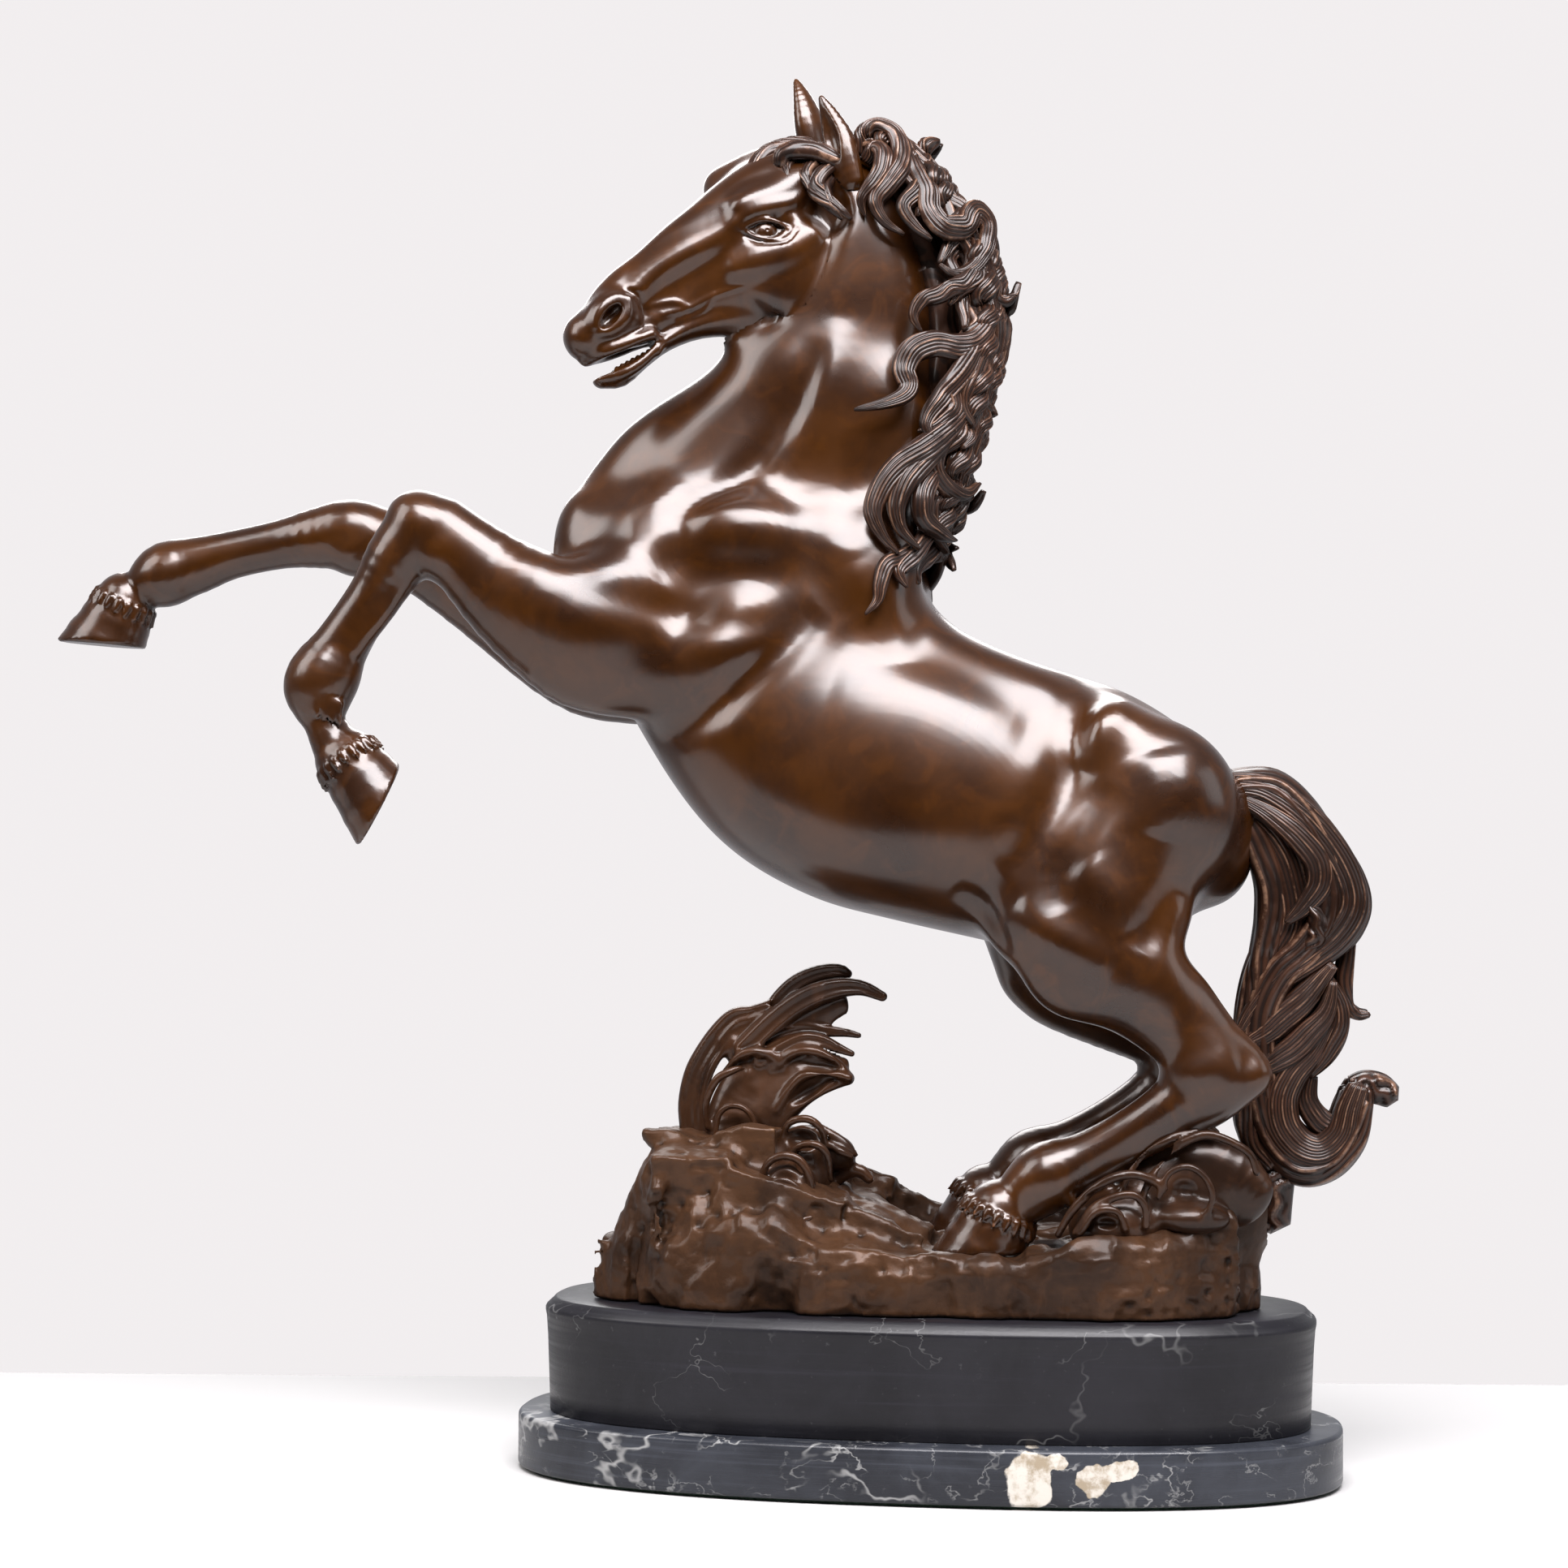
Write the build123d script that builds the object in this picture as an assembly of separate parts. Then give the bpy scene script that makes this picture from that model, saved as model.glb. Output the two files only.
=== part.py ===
from build123d import *
import math
import os

# A rearing bronze horse on a modelled rock base, screwed to a two-step oval
# marble plinth.  Millimetres, +Z up, +X towards the tail, -Y is the horse's
# left side.  The origin is the centre of the underside of the plinth.
os.makedirs("parts", exist_ok=True)

# ---- plinth
SLAB_LENGTH = 300.0
SLAB_DEPTH = 150.0
FELT_THICKNESS = 1.2
SLAB_TOP = 20.5
DRUM_LENGTH = 281.0
DRUM_DEPTH = 132.0
DRUM_TOP = 62.0
RIM_HEIGHT = 6.0
RIM_STEP = 3.5
OVAL_POWER = 2.5
# ---- bronze castings
WALL = 4.2
BASE_WALL = 5.0
PIN_RADIUS = 3.2
# ---- screws that clamp the bronze base, both marble steps and nothing else
STUD_RADIUS = 3.0
STUD_BORE = 3.4
WASHER_RADIUS = 8.0
NUT_ACROSS_FLATS = 10.0
NUT_HEIGHT = 5.0
POCKET_RADIUS = 9.0
POCKET_DEPTH = 9.0
BOSS_RADIUS = 6.5
BOSS_TOP = 80.0
STUD_SPOTS = [(-88.0, 0.0), (-30.0, 26.0), (30.0, -26.0), (88.0, 0.0)]
# ---- the horse's sides
LEFT = -1.0
RIGHT = 1.0


def save(shape, node):
    export_step(shape, "parts/" + node + ".step")


def solid_of(shape):
    """The shape as one compound of its solids."""
    solids = shape.solids()
    if len(solids) == 1:
        return solids[0]
    return Compound(children=list(solids))


def cut(shape, *tools):
    for tool in tools:
        shape = shape - tool
    return shape


def biggest(shape, count=1):
    solids = sorted(shape.solids(), key=lambda s: -s.volume)[:count]
    if count == 1:
        return solids[0]
    return Compound(children=solids)


def joined(shapes):
    whole = shapes[0]
    for shape in shapes[1:]:
        whole = whole + shape
    return whole


# ---------------------------------------------------------------- helpers
def oval_wire(length, depth, z, points=36):
    """A squared-off oval (superellipse) at height z."""
    a = length / 2.0
    b = depth / 2.0
    points_round = []
    for i in range(points):
        t = 2.0 * math.pi * i / points
        c = math.cos(t)
        s = math.sin(t)
        x = a * math.copysign(abs(c) ** (2.0 / OVAL_POWER), c)
        y = b * math.copysign(abs(s) ** (2.0 / OVAL_POWER), s)
        points_round.append(Vector(x, y, z))
    return Wire([Edge.make_spline(points_round, periodic=True)])


def oval_stack(levels):
    """A turned-looking oval solid through (length, depth, z) levels."""
    wires = [oval_wire(*level) for level in levels]
    return Solid.make_loft(wires, ruled=True)


def ring(centre, deep_way, wide_way, deep, wide):
    """An elliptical wire in four quarters, so that lofted rings line up."""
    quarters = []
    for quarter in range(4):
        points = []
        for step in range(4):
            t = math.pi / 2 * (quarter + step / 3.0)
            points.append(centre + deep_way * (deep * math.cos(t)) + wide_way * (wide * math.sin(t)))
        ends = []
        for t in (math.pi / 2 * quarter, math.pi / 2 * (quarter + 1)):
            ends.append(wide_way * (wide * math.cos(t)) - deep_way * (deep * math.sin(t)))
        quarters.append(Edge.make_spline(points, tangents=ends))
    return Wire(quarters)


def body_skin(stations, inset=0.0):
    """Smooth skin through tilted rings, optionally set in by a wall.

    A station is (x, y, z, half_deep, half_wide, angle), the angle being that
    of the ring's upper side in degrees above +X.
    """
    wires = []
    for x, y, z, deep, wide, angle in stations:
        rise = math.radians(angle)
        upper = Vector(math.cos(rise), 0, math.sin(rise))
        wires.append(ring(Vector(x, y, z), upper, Vector(0, 1, 0), deep - inset, wide - inset))
    return Solid.make_loft(wires)


def limb(stations):
    """Smooth skin square to its own path: (x, y, z, half_deep, half_wide)."""
    wires = []
    last = len(stations) - 1
    for i, (x, y, z, deep, wide) in enumerate(stations):
        before = Vector(*stations[max(i - 1, 0)][:3])
        after = Vector(*stations[min(i + 1, last)][:3])
        along = (after - before).normalized()
        side = (Vector(0, 1, 0) - along * along.Y).normalized()
        wires.append(ring(Vector(x, y, z), along.cross(side), side, deep, wide))
    return Solid.make_loft(wires)


def blob(x, y, z, rx, ry, rz, angle=0.0):
    """An ellipsoid turned about Y."""
    ball = Solid.make_sphere(1.0)
    ball = ball.transform_geometry(
        Matrix([[rx, 0, 0, 0], [0, ry, 0, 0], [0, 0, rz, 0]]))
    return Pos(x, y, z) * (Rot(0, -angle, 0) * ball)


def rod(start, end, radius):
    a = Vector(*start)
    b = Vector(*end)
    return Solid.make_cylinder(radius, (b - a).length, Plane(origin=a, z_dir=b - a))


# ---------------------------------------------------------------- plinth
pad = oval_stack([(SLAB_LENGTH - 6, SLAB_DEPTH - 6, 0.0),
                  (SLAB_LENGTH - 6, SLAB_DEPTH - 6, FELT_THICKNESS)])
slab = oval_stack([(SLAB_LENGTH - 2, SLAB_DEPTH - 2, FELT_THICKNESS),
                   (SLAB_LENGTH, SLAB_DEPTH, FELT_THICKNESS + 1.2),
                   (SLAB_LENGTH, SLAB_DEPTH, SLAB_TOP - 1.2),
                   (SLAB_LENGTH - 3, SLAB_DEPTH - 3, SLAB_TOP)])
rim_low = DRUM_TOP - RIM_HEIGHT
rim_mid = DRUM_TOP - RIM_HEIGHT * 0.55
drum = oval_stack([(DRUM_LENGTH - 4, DRUM_DEPTH - 4, SLAB_TOP),
                   (DRUM_LENGTH - 6, DRUM_DEPTH - 6, SLAB_TOP + 14),
                   (DRUM_LENGTH - 4, DRUM_DEPTH - 4, rim_low - 5),
                   (DRUM_LENGTH, DRUM_DEPTH, rim_low),
                   (DRUM_LENGTH, DRUM_DEPTH, rim_mid),
                   (DRUM_LENGTH - 2 * RIM_STEP, DRUM_DEPTH - 2 * RIM_STEP, rim_mid + 0.6),
                   (DRUM_LENGTH - 3 * RIM_STEP, DRUM_DEPTH - 3 * RIM_STEP, DRUM_TOP)])

bores = joined([Pos(x, y, -1) * Solid.make_cylinder(STUD_BORE, DRUM_TOP + 2)
                for x, y in STUD_SPOTS])
pockets = joined([Pos(x, y, -1) * Solid.make_cylinder(POCKET_RADIUS, POCKET_DEPTH + 1)
                  for x, y in STUD_SPOTS])
felt_pad = cut(pad, pockets)
plinth_slab = cut(slab, pockets, bores)
plinth_drum = cut(drum, bores)

washer_top = POCKET_DEPTH
washer_low = washer_top - 1.4
stud_low = washer_low - NUT_HEIGHT - 1.0
studs = []
washers = []
nuts = []
for x, y in STUD_SPOTS:
    studs.append(Pos(x, y, stud_low) * Solid.make_cylinder(STUD_RADIUS, BOSS_TOP - 4 - stud_low))
    washer = Solid.make_cylinder(WASHER_RADIUS, 1.4) - Solid.make_cylinder(STUD_BORE, 1.4)
    washers.append(solid_of(Pos(x, y, washer_low) * washer))
    hexagon = extrude(RegularPolygon(NUT_ACROSS_FLATS / 2, 6, major_radius=False), NUT_HEIGHT)
    nut = hexagon - Solid.make_cylinder(STUD_RADIUS, NUT_HEIGHT)
    nuts.append(solid_of(Pos(x, y, washer_low - NUT_HEIGHT) * nut))

# ---------------------------------------------------------------- rock base
# Faceted hollow shell: sections across Y at stations along X, each given by
# (x, foot half width, shoulder half width, shoulder z, ridge half width, ridge z).
ROCK = [(-117.0, 30.0, 27.0, 76.0, 14.0, 83.0),
        (-109.0, 44.0, 41.0, 86.0, 22.0, 98.0),
        (-97.0, 52.0, 46.0, 96.0, 26.0, 119.0),
        (-80.0, 56.0, 47.0, 98.0, 24.0, 123.5),
        (-58.0, 58.0, 50.0, 92.0, 24.0, 121.0),
        (-36.0, 58.0, 52.0, 84.0, 26.0, 110.0),
        (-14.0, 57.0, 52.0, 80.0, 28.0, 93.0),
        (10.0, 57.0, 52.0, 78.0, 30.0, 85.0),
        (36.0, 58.0, 53.0, 78.0, 34.0, 84.0),
        (58.0, 58.0, 53.0, 82.0, 36.0, 92.0),
        (84.0, 56.0, 51.0, 86.0, 34.0, 104.0),
        (108.0, 48.0, 44.0, 88.0, 28.0, 106.0),
        (118.0, 38.0, 36.0, 84.0, 22.0, 96.0)]


def rock_section(station, inset=0.0, foot=DRUM_TOP):
    x, foot_half, mid_half, mid_z, top_half, top_z = station
    shift = inset * 1.3
    half = [(foot_half - inset, foot), (mid_half - inset, mid_z - inset),
            (top_half - inset * 0.6, top_z - shift)]
    corners = [(x, -w, z) for w, z in half] + [(x, w, z) for w, z in reversed(half)]
    return Wire.make_polygon([Vector(*p) for p in corners], close=True)


def rock_solid(stations, inset=0.0, foot=DRUM_TOP):
    wires = [rock_section(s, inset, foot) for s in stations]
    return Solid.make_loft(wires, ruled=True)


rock_outer = rock_solid(ROCK)
cavity_rows = [(s[0] + (BASE_WALL if i == 0 else 0) - (BASE_WALL if i == len(ROCK) - 1 else 0),)
               + s[1:] for i, s in enumerate(ROCK)]
rock_cavity = rock_solid(cavity_rows, BASE_WALL, DRUM_TOP - 1.0)
bosses = joined([Pos(x, y, DRUM_TOP) * Solid.make_cylinder(BOSS_RADIUS, 40.0)
                 for x, y in STUD_SPOTS])
boss_trim = Pos(0, 0, (BOSS_TOP + 180) / 2) * Box(400, 400, 180 - BOSS_TOP)
bosses = cut(bosses, boss_trim)
tapped = joined([Pos(x, y, DRUM_TOP - 2) * Solid.make_cylinder(STUD_RADIUS, BOSS_TOP - 4 - DRUM_TOP + 2)
                 for x, y in STUD_SPOTS])
rock_shell = rock_outer - rock_cavity + (bosses & rock_outer)

# ---------------------------------------------------------------- torso
TORSO = [(-72.0, 0.0, 332.0, 66.5, 33.0, 0.0),
         (-56.0, 0.0, 298.0, 60.0, 40.0, 20.0),
         (-36.0, 0.0, 270.0, 59.0, 45.0, 42.0),
         (-13.0, 0.0, 255.0, 56.0, 47.0, 56.0),
         (9.0, 0.0, 248.0, 54.0, 47.5, 62.0),
         (29.0, 0.0, 243.0, 53.0, 46.0, 64.0),
         (49.0, 0.0, 237.0, 52.0, 46.0, 63.0),
         (69.0, 0.0, 228.0, 50.0, 44.0, 60.0),
         (88.0, 0.0, 219.0, 43.0, 36.0, 62.0),
         (104.0, 0.0, 212.0, 30.0, 22.0, 64.0)]


def thigh(side, shift=0.0):
    y = side
    return body_skin([(74.0 + shift, 22 * y, 240.0, 34.0, 22.0, 25.0),
                      (68.0 + shift, 26 * y, 214.0, 41.0, 22.5, 22.0),
                      (60.0 + shift, 30 * y, 186.0, 34.0, 19.0, 13.0)])


torso_outer = joined([body_skin(TORSO), thigh(LEFT), thigh(RIGHT, -4.0),
                      blob(-98, -24, 312, 26, 18, 30, 20), blob(-98, 24, 312, 26, 18, 30, 20),
                      blob(104, 0, 232, 17, 17, 20, 20)])
torso_hollow = body_skin(TORSO[1:-1], WALL + 1.5)

# ---------------------------------------------------------------- neck and head
NECK = [(-72.0, 0.0, 332.0, 66.5, 33.0, 0.0),
        (-70.5, 0.0, 345.0, 64.0, 31.5, -1.0),
        (-63.0, -0.5, 362.0, 60.0, 29.0, -3.0),
        (-49.0, -1.0, 388.0, 54.0, 25.0, 1.0),
        (-35.0, -2.0, 409.0, 44.0, 22.0, 10.0),
        (-29.0, -3.0, 430.0, 33.0, 19.0, 27.0),
        (-27.0, -3.0, 450.0, 26.0, 17.0, 50.0),
        (-31.0, -3.0, 464.0, 20.0, 14.0, 70.0)]
HEAD = [(-40.0, -3.0, 462.0, 20.0, 13.0, 90.0),
        (-48.0, -4.0, 456.0, 31.0, 18.0, 100.0),
        (-58.0, -6.5, 450.0, 32.0, 20.5, 108.0),
        (-71.0, -10.5, 444.5, 29.0, 19.0, 110.0),
        (-84.5, -15.0, 438.5, 23.0, 15.5, 112.0),
        (-96.5, -19.0, 430.5, 20.0, 12.5, 114.0),
        (-106.0, -22.5, 422.5, 18.5, 11.5, 116.0),
        (-115.0, -25.5, 415.0, 16.5, 11.5, 120.0),
        (-122.5, -28.0, 411.0, 11.0, 9.5, 124.0)]
head_outer = body_skin(HEAD)
mouth = limb([(-92.0, -17.5, 411.0, 1.0, 20.0), (-108.0, -23.0, 408.5, 3.0, 22.0),
              (-136.0, -32.0, 403.0, 6.5, 24.0)])
neck_outer = body_skin(NECK)
neck_hollow = body_skin([(x, y, z, d - 5.5, w - 5.5, a) for x, y, z, d, w, a in NECK[1:-1]])
brows = [blob(-74, -25, 462, 8, 6, 6, 45), blob(-80, 2, 472, 7, 6, 6, 45)]
head_core = joined([head_outer] + brows)
neck_solid = biggest(cut(neck_outer, head_core))
head_solid = biggest(cut(head_core, mouth))

# ears: a leaf standing on the poll, hollowed on its outer side
EAR_HEIGHT = 27.0


def ear(x, y, z, lean_x, lean_y, side):
    rows = []
    for share, deep, wide in ((-0.25, 7.0, 5.0), (0.1, 7.5, 5.5), (0.45, 7.0, 5.0),
                              (0.78, 4.2, 3.2), (1.0, 1.2, 1.0)):
        rows.append((x + lean_x * share, y + lean_y * share, z + EAR_HEIGHT * share, deep, wide))
    leaf = limb(rows)
    scoop = limb([(a - 1.5, b + side * 4.6, c + 4.0, d * 0.55, w * 0.6) for a, b, c, d, w in rows[1:]])
    return cut(leaf, scoop)


ear_left = biggest(cut(ear(-34, -13, 477, -5, -2, LEFT), head_solid, neck_solid))
ear_right = biggest(cut(ear(-48, 6, 486, -5, 1, RIGHT), head_solid, neck_solid))
forelock = biggest(cut(joined([limb([(-40, -4, 483, 6, 9), (-52, -5, 487, 6, 9),
                                     (-64, -7, 486, 4.5, 6), (-70, -9, 478, 3, 4)]),
                               limb([(-42, 0, 484, 5, 5), (-56, 1, 490, 5, 5),
                                     (-70, 1, 487, 2.5, 3)])]),
                       head_solid, neck_solid, ear_left, ear_right))

# ---------------------------------------------------------------- mane
CREST = [(-24.0, 484.0), (-4.0, 476.0), (11.0, 458.0), (19.0, 437.0), (20.0, 416.0),
         (18.0, 396.0), (15.0, 376.0), (10.0, 357.0), (4.0, 340.0), (-2.0, 322.0)]


def crest_core(first, last):
    rows = [(x - 5, -1.0, z - 2, 10.0, 12.0) for x, z in CREST[first:last + 1]]
    return limb(rows)


def lock(x, z, side, reach, drop, fat):
    """One S-shaped lock that leaves the crest and lies down the neck."""
    return limb([(x - 1, side * 3.0, z + 4, fat * 0.8, fat * 0.8),
                 (x - 4, side * 13.0, z - drop * 0.2, fat, fat * 0.7),
                 (x - reach * 0.35, side * 21.0, z - drop * 0.5, fat, fat * 0.6),
                 (x - reach * 0.6, side * 24.0, z - drop * 0.75, fat * 0.8, fat * 0.5),
                 (x - reach, side * 24.0, z - drop, fat * 0.3, fat * 0.3)])


def mane_part(first, last, locks):
    shapes = [crest_core(first, last)]
    for entry in locks:
        shapes.append(lock(*entry))
    return joined(shapes)


mane_upper = mane_part(0, 3, [(-8, 474, LEFT, 14, 38, 8.0), (8, 458, LEFT, 22, 42, 8.0),
                              (-6, 474, RIGHT, 10, 34, 8.0), (10, 456, RIGHT, 18, 40, 8.0)])
mane_middle = mane_part(3, 6, [(17, 438, LEFT, 34, 48, 8.5), (19, 414, LEFT, 38, 44, 8.5),
                               (17, 436, RIGHT, 30, 46, 8.5), (18, 410, RIGHT, 34, 44, 8.5)])
mane_lower = mane_part(6, 9, [(15, 382, LEFT, 38, 46, 8.5), (10, 356, LEFT, 36, 44, 8.0),
                              (14, 380, RIGHT, 34, 44, 8.5), (9, 354, RIGHT, 32, 40, 8.0)])
mane_upper = biggest(cut(mane_upper, neck_outer, head_solid, ear_left, ear_right, forelock))
mane_middle = biggest(cut(mane_middle, neck_outer, mane_upper))
mane_lower = biggest(cut(mane_lower, neck_outer, torso_outer, mane_middle))

# ---------------------------------------------------------------- legs
foreleg_left = joined([
    limb([(-104.0, -30.0, 300.0, 32.0, 15.0), (-118.0, -31.0, 302.0, 29.0, 15.5),
          (-132.0, -32.0, 307.0, 24.5, 15.0), (-150.0, -33.0, 318.0, 20.0, 13.5),
          (-166.0, -33.5, 332.0, 15.5, 12.5), (-181.0, -34.0, 343.0, 15.0, 13.0)]),
    limb([(-184.0, -34.0, 343.0, 13.5, 13.0), (-194.0, -34.0, 331.0, 12.2, 11.5),
          (-205.0, -34.0, 313.0, 10.7, 9.5), (-215.0, -34.0, 299.0, 12.5, 10.0),
          (-221.0, -34.0, 288.0, 14.5, 12.0), (-222.0, -34.0, 277.0, 9.5, 9.5),
          (-217.0, -34.0, 266.0, 8.5, 9.0), (-210.0, -34.0, 256.0, 14.5, 13.0)]),
    limb([(-211.0, -34.0, 257.0, 15.0, 13.5), (-198.0, -34.0, 242.0, 18.0, 15.5)])])
foreleg_right = joined([
    limb([(-112.0, 26.0, 300.0, 30.0, 15.0), (-128.0, 28.0, 303.0, 28.0, 15.5),
          (-142.0, 29.0, 308.0, 26.0, 15.0), (-170.0, 31.0, 325.0, 23.0, 14.0),
          (-197.0, 32.0, 338.0, 18.0, 12.5), (-222.0, 32.0, 346.0, 13.5, 12.5),
          (-238.0, 32.0, 346.5, 12.5, 12.0), (-256.0, 32.0, 343.5, 10.7, 9.5),
          (-276.0, 32.0, 339.0, 10.5, 9.5), (-292.0, 32.0, 335.0, 13.0, 11.0),
          (-303.0, 32.0, 332.0, 12.5, 11.0), (-312.0, 32.0, 325.0, 8.5, 9.5),
          (-319.0, 32.0, 318.0, 12.0, 12.0)]),
    limb([(-318.0, 32.0, 320.0, 13.0, 13.0), (-327.0, 32.0, 305.0, 18.0, 15.5)])])


def hind_leg(side, dx):
    y = side * 31.0
    return joined([
        body_skin([(60.0 + dx, y * 0.97, 186.0, 34.0, 19.0, 13.0),
                   (82.0 + dx, y, 171.0, 23.5, 15.5, 15.0),
                   (97.0 + dx, y, 159.0, 16.5, 12.5, 10.0),
                   (105.0 + dx, y, 147.0, 15.0, 12.0, 5.0)]),
        blob(104 + dx, y, 147, 17, 12, 15, 20),
        limb([(104.0 + dx, y, 146.0, 14.0, 12.0), (92.0 + dx, y, 137.0, 11.5, 11.5),
              (74.0 + dx, y, 125.0, 10.0, 9.5), (57.0 + dx, y, 115.5, 11.3, 10.5),
              (43.0 + dx, y, 108.0, 12.4, 11.5), (33.0 + dx, y, 101.0, 10.5, 10.5),
              (26.0 + dx, y, 94.0, 13.5, 13.5)]),
        body_skin([(24.0 + dx, y, 84.5, 17.5, 15.5, 0.0), (29.0 + dx, y, 97.0, 14.5, 14.0, 8.0)])])


hind_leg_left = hind_leg(LEFT, 0.0)
hind_leg_right = hind_leg(RIGHT, -9.0)

# ---------------------------------------------------------------- tail
TAIL = [(104.0, 0.0, 243.0, 9.0, 9.0), (113.0, 0.0, 245.5, 10.0, 10.0),
        (123.0, 0.0, 240.0, 12.5, 12.0), (131.5, 0.0, 230.0, 13.6, 13.5),
        (138.0, 0.0, 216.0, 15.0, 15.0), (140.0, 0.0, 199.0, 18.0, 17.0),
        (137.6, 0.0, 184.0, 18.2, 17.0), (132.6, 0.0, 165.0, 16.0, 15.0),
        (127.0, 0.0, 149.0, 14.5, 13.5), (125.5, 0.0, 134.0, 15.0, 13.0),
        (131.0, 0.0, 121.0, 14.5, 12.0), (143.0, 0.0, 119.0, 12.0, 10.5),
        (154.0, 0.0, 128.0, 9.5, 9.0), (162.0, 0.0, 138.0, 7.5, 7.5)]
tail_outer = limb(TAIL)

# ---------------------------------------------------------------- wave plume
def finger(points, y, fat, flat):
    """A tapering finger of water: points are (x, z, share of full size)."""
    return limb([(x, y, z, fat * s, flat * s) for x, z, s in points])


plume = joined([
    finger([(-87, 118, 0.75), (-87.4, 134, 0.85), (-85.6, 144, 1.0), (-81.5, 152, 1.0),
            (-76, 158.5, 0.9), (-66, 164, 0.7), (-56, 167, 0.6)], 2.0, 5.5, 4.5),
    finger([(-70, 117, 1.0), (-68, 132, 1.0), (-62, 146, 0.9), (-55, 158, 0.75),
            (-48, 168, 0.5)], -3.0, 14.0, 10.0),
    finger([(-58, 163, 1.0), (-49, 174, 1.0), (-39.5, 179.5, 0.8), (-30, 181, 0.5)], 3.0, 4.5, 4.0),
    finger([(-60, 158, 1.0), (-45, 171, 1.0), (-32, 175.5, 0.8), (-16.5, 173.5, 0.35)], -3.0, 5.0, 4.0),
    finger([(-58, 152, 1.0), (-44, 158.5, 1.0), (-25.5, 158.6, 0.5)], 2.0, 4.0, 4.0),
    finger([(-62, 146, 1.0), (-46, 155, 1.0), (-28, 151.5, 0.5)], -5.0, 4.2, 4.0),
    finger([(-64, 134, 1.0), (-54, 141, 1.0), (-43, 147, 0.9), (-28.5, 143, 0.3)], -6.0, 8.0, 5.0)])


def crest(x, y, z, span, rise, fat, lean=0.0):
    """A crescent wave crest: an arch of tapering section with a sunk field."""
    rows = []
    for i in range(7):
        t = math.pi * (0.02 + 0.96 * i / 6.0)
        swell = 0.55 + 0.45 * math.sin(t)
        rows.append((x - span * math.cos(t), y, z + rise * math.sin(t), fat * swell, fat * 0.9))
    field = blob(x, y + 1.5, z, span * 0.9, fat * 0.8, rise * 0.85)
    return Pos(x, y, z) * Rot(0, lean, 0) * Pos(-x, -y, -z) * joined([limb(rows), field])


front_crests = joined([
    crest(-58.0, -20.0, 122.0, 9.0, 11.0, 2.6, 20), crest(-47.0, -23.0, 112.0, 10.0, 14.0, 3.0, 25),
    crest(-39.0, -21.0, 108.0, 8.0, 12.0, 2.6, 40), crest(-44.0, -33.0, 97.0, 10.0, 18.0, 3.2, 15),
    crest(-42.0, -36.0, 94.0, 8.0, 12.0, 2.6, 15)])
front_body = blob(-46, -22, 101, 16, 16, 18)
front_crests = joined([front_crests, front_body])
rear_crests = joined([
    crest(86.0, -36.0, 100.0, 26.0, 27.0, 3.6, 25), crest(101.0, -38.0, 98.0, 19.0, 24.0, 3.6, 20),
    crest(70.0, -41.0, 95.0, 15.0, 16.0, 3.0, 12), crest(69.0, -44.0, 92.0, 10.0, 11.0, 2.6, 8),
    blob(90, -30, 100, 26, 13, 16)])

# ------------------------------------------------ fitting the castings together
hoofs = joined([hind_leg_left, hind_leg_right])
rock_base = cut(rock_shell, tapped, hoofs)
wave_plume = biggest(cut(plume, rock_outer))
wave_scrolls_front = biggest(cut(front_crests, rock_outer, plume))
wave_scrolls_rear = biggest(cut(rear_crests, rock_outer, hoofs))
tail_solid = biggest(cut(tail_outer, torso_outer, rock_outer, rear_crests, hoofs))
foreleg_left = biggest(cut(foreleg_left, torso_outer, neck_outer))
foreleg_right = biggest(cut(foreleg_right, torso_outer, neck_outer))
hind_leg_left = biggest(cut(hind_leg_left, torso_outer))
hind_leg_right = biggest(cut(hind_leg_right, torso_outer))
torso_shell = cut(torso_outer, torso_hollow, neck_outer)
neck_shell = cut(neck_solid, neck_hollow)
rock_base = biggest(rock_base)

# ---------------------------------------------------------------- pins inside
foreleg_pins = [rod((-88, -27, 300), (-148, -33, 317), PIN_RADIUS),
                rod((-88, 24, 300), (-160, 31, 319), PIN_RADIUS)]
hind_pins = [rod((55, -27, 206), (79, -31, 174), PIN_RADIUS),
             rod((50, 26, 206), (70, 31, 174), PIN_RADIUS)]
hoof_studs = [rod((24, -31, 74), (27, -31, 92), PIN_RADIUS),
              rod((15, 31, 74), (18, 31, 92), PIN_RADIUS)]
tail_pin = rod((96, 0, 236), (120, 0, 242), PIN_RADIUS)
neck_pins = [rod((-115, 0, 322), (-115, 0, 342), PIN_RADIUS),
             rod((-24, 0, 322), (-24, 0, 342), PIN_RADIUS)]
pins = joined(foreleg_pins + hind_pins + hoof_studs + [tail_pin] + neck_pins)

save(felt_pad, "felt_pad")
save(plinth_slab, "plinth_slab")
save(plinth_drum, "plinth_drum")
save(Compound(children=studs), "fixing_studs")
save(Compound(children=washers), "fixing_washers")
save(Compound(children=nuts), "fixing_nuts")
save(biggest(cut(rock_base, joined(hoof_studs))), "rock_base")
save(wave_plume, "wave_plume")
save(wave_scrolls_front, "wave_scrolls_front")
save(wave_scrolls_rear, "wave_scrolls_rear")
save(biggest(cut(torso_shell, pins)), "torso")
save(biggest(cut(neck_shell, pins)), "neck")
save(head_solid, "head")
save(ear_left, "ear_left")
save(ear_right, "ear_right")
save(forelock, "forelock")
save(mane_upper, "mane_upper")
save(mane_middle, "mane_middle")
save(mane_lower, "mane_lower")
save(biggest(cut(foreleg_left, foreleg_pins[0])), "foreleg_left")
save(biggest(cut(foreleg_right, foreleg_pins[1])), "foreleg_right")
save(biggest(cut(hind_leg_left, hind_pins[0], hoof_studs[0])), "hind_leg_left")
save(biggest(cut(hind_leg_right, hind_pins[1], hoof_studs[1])), "hind_leg_right")
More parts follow.
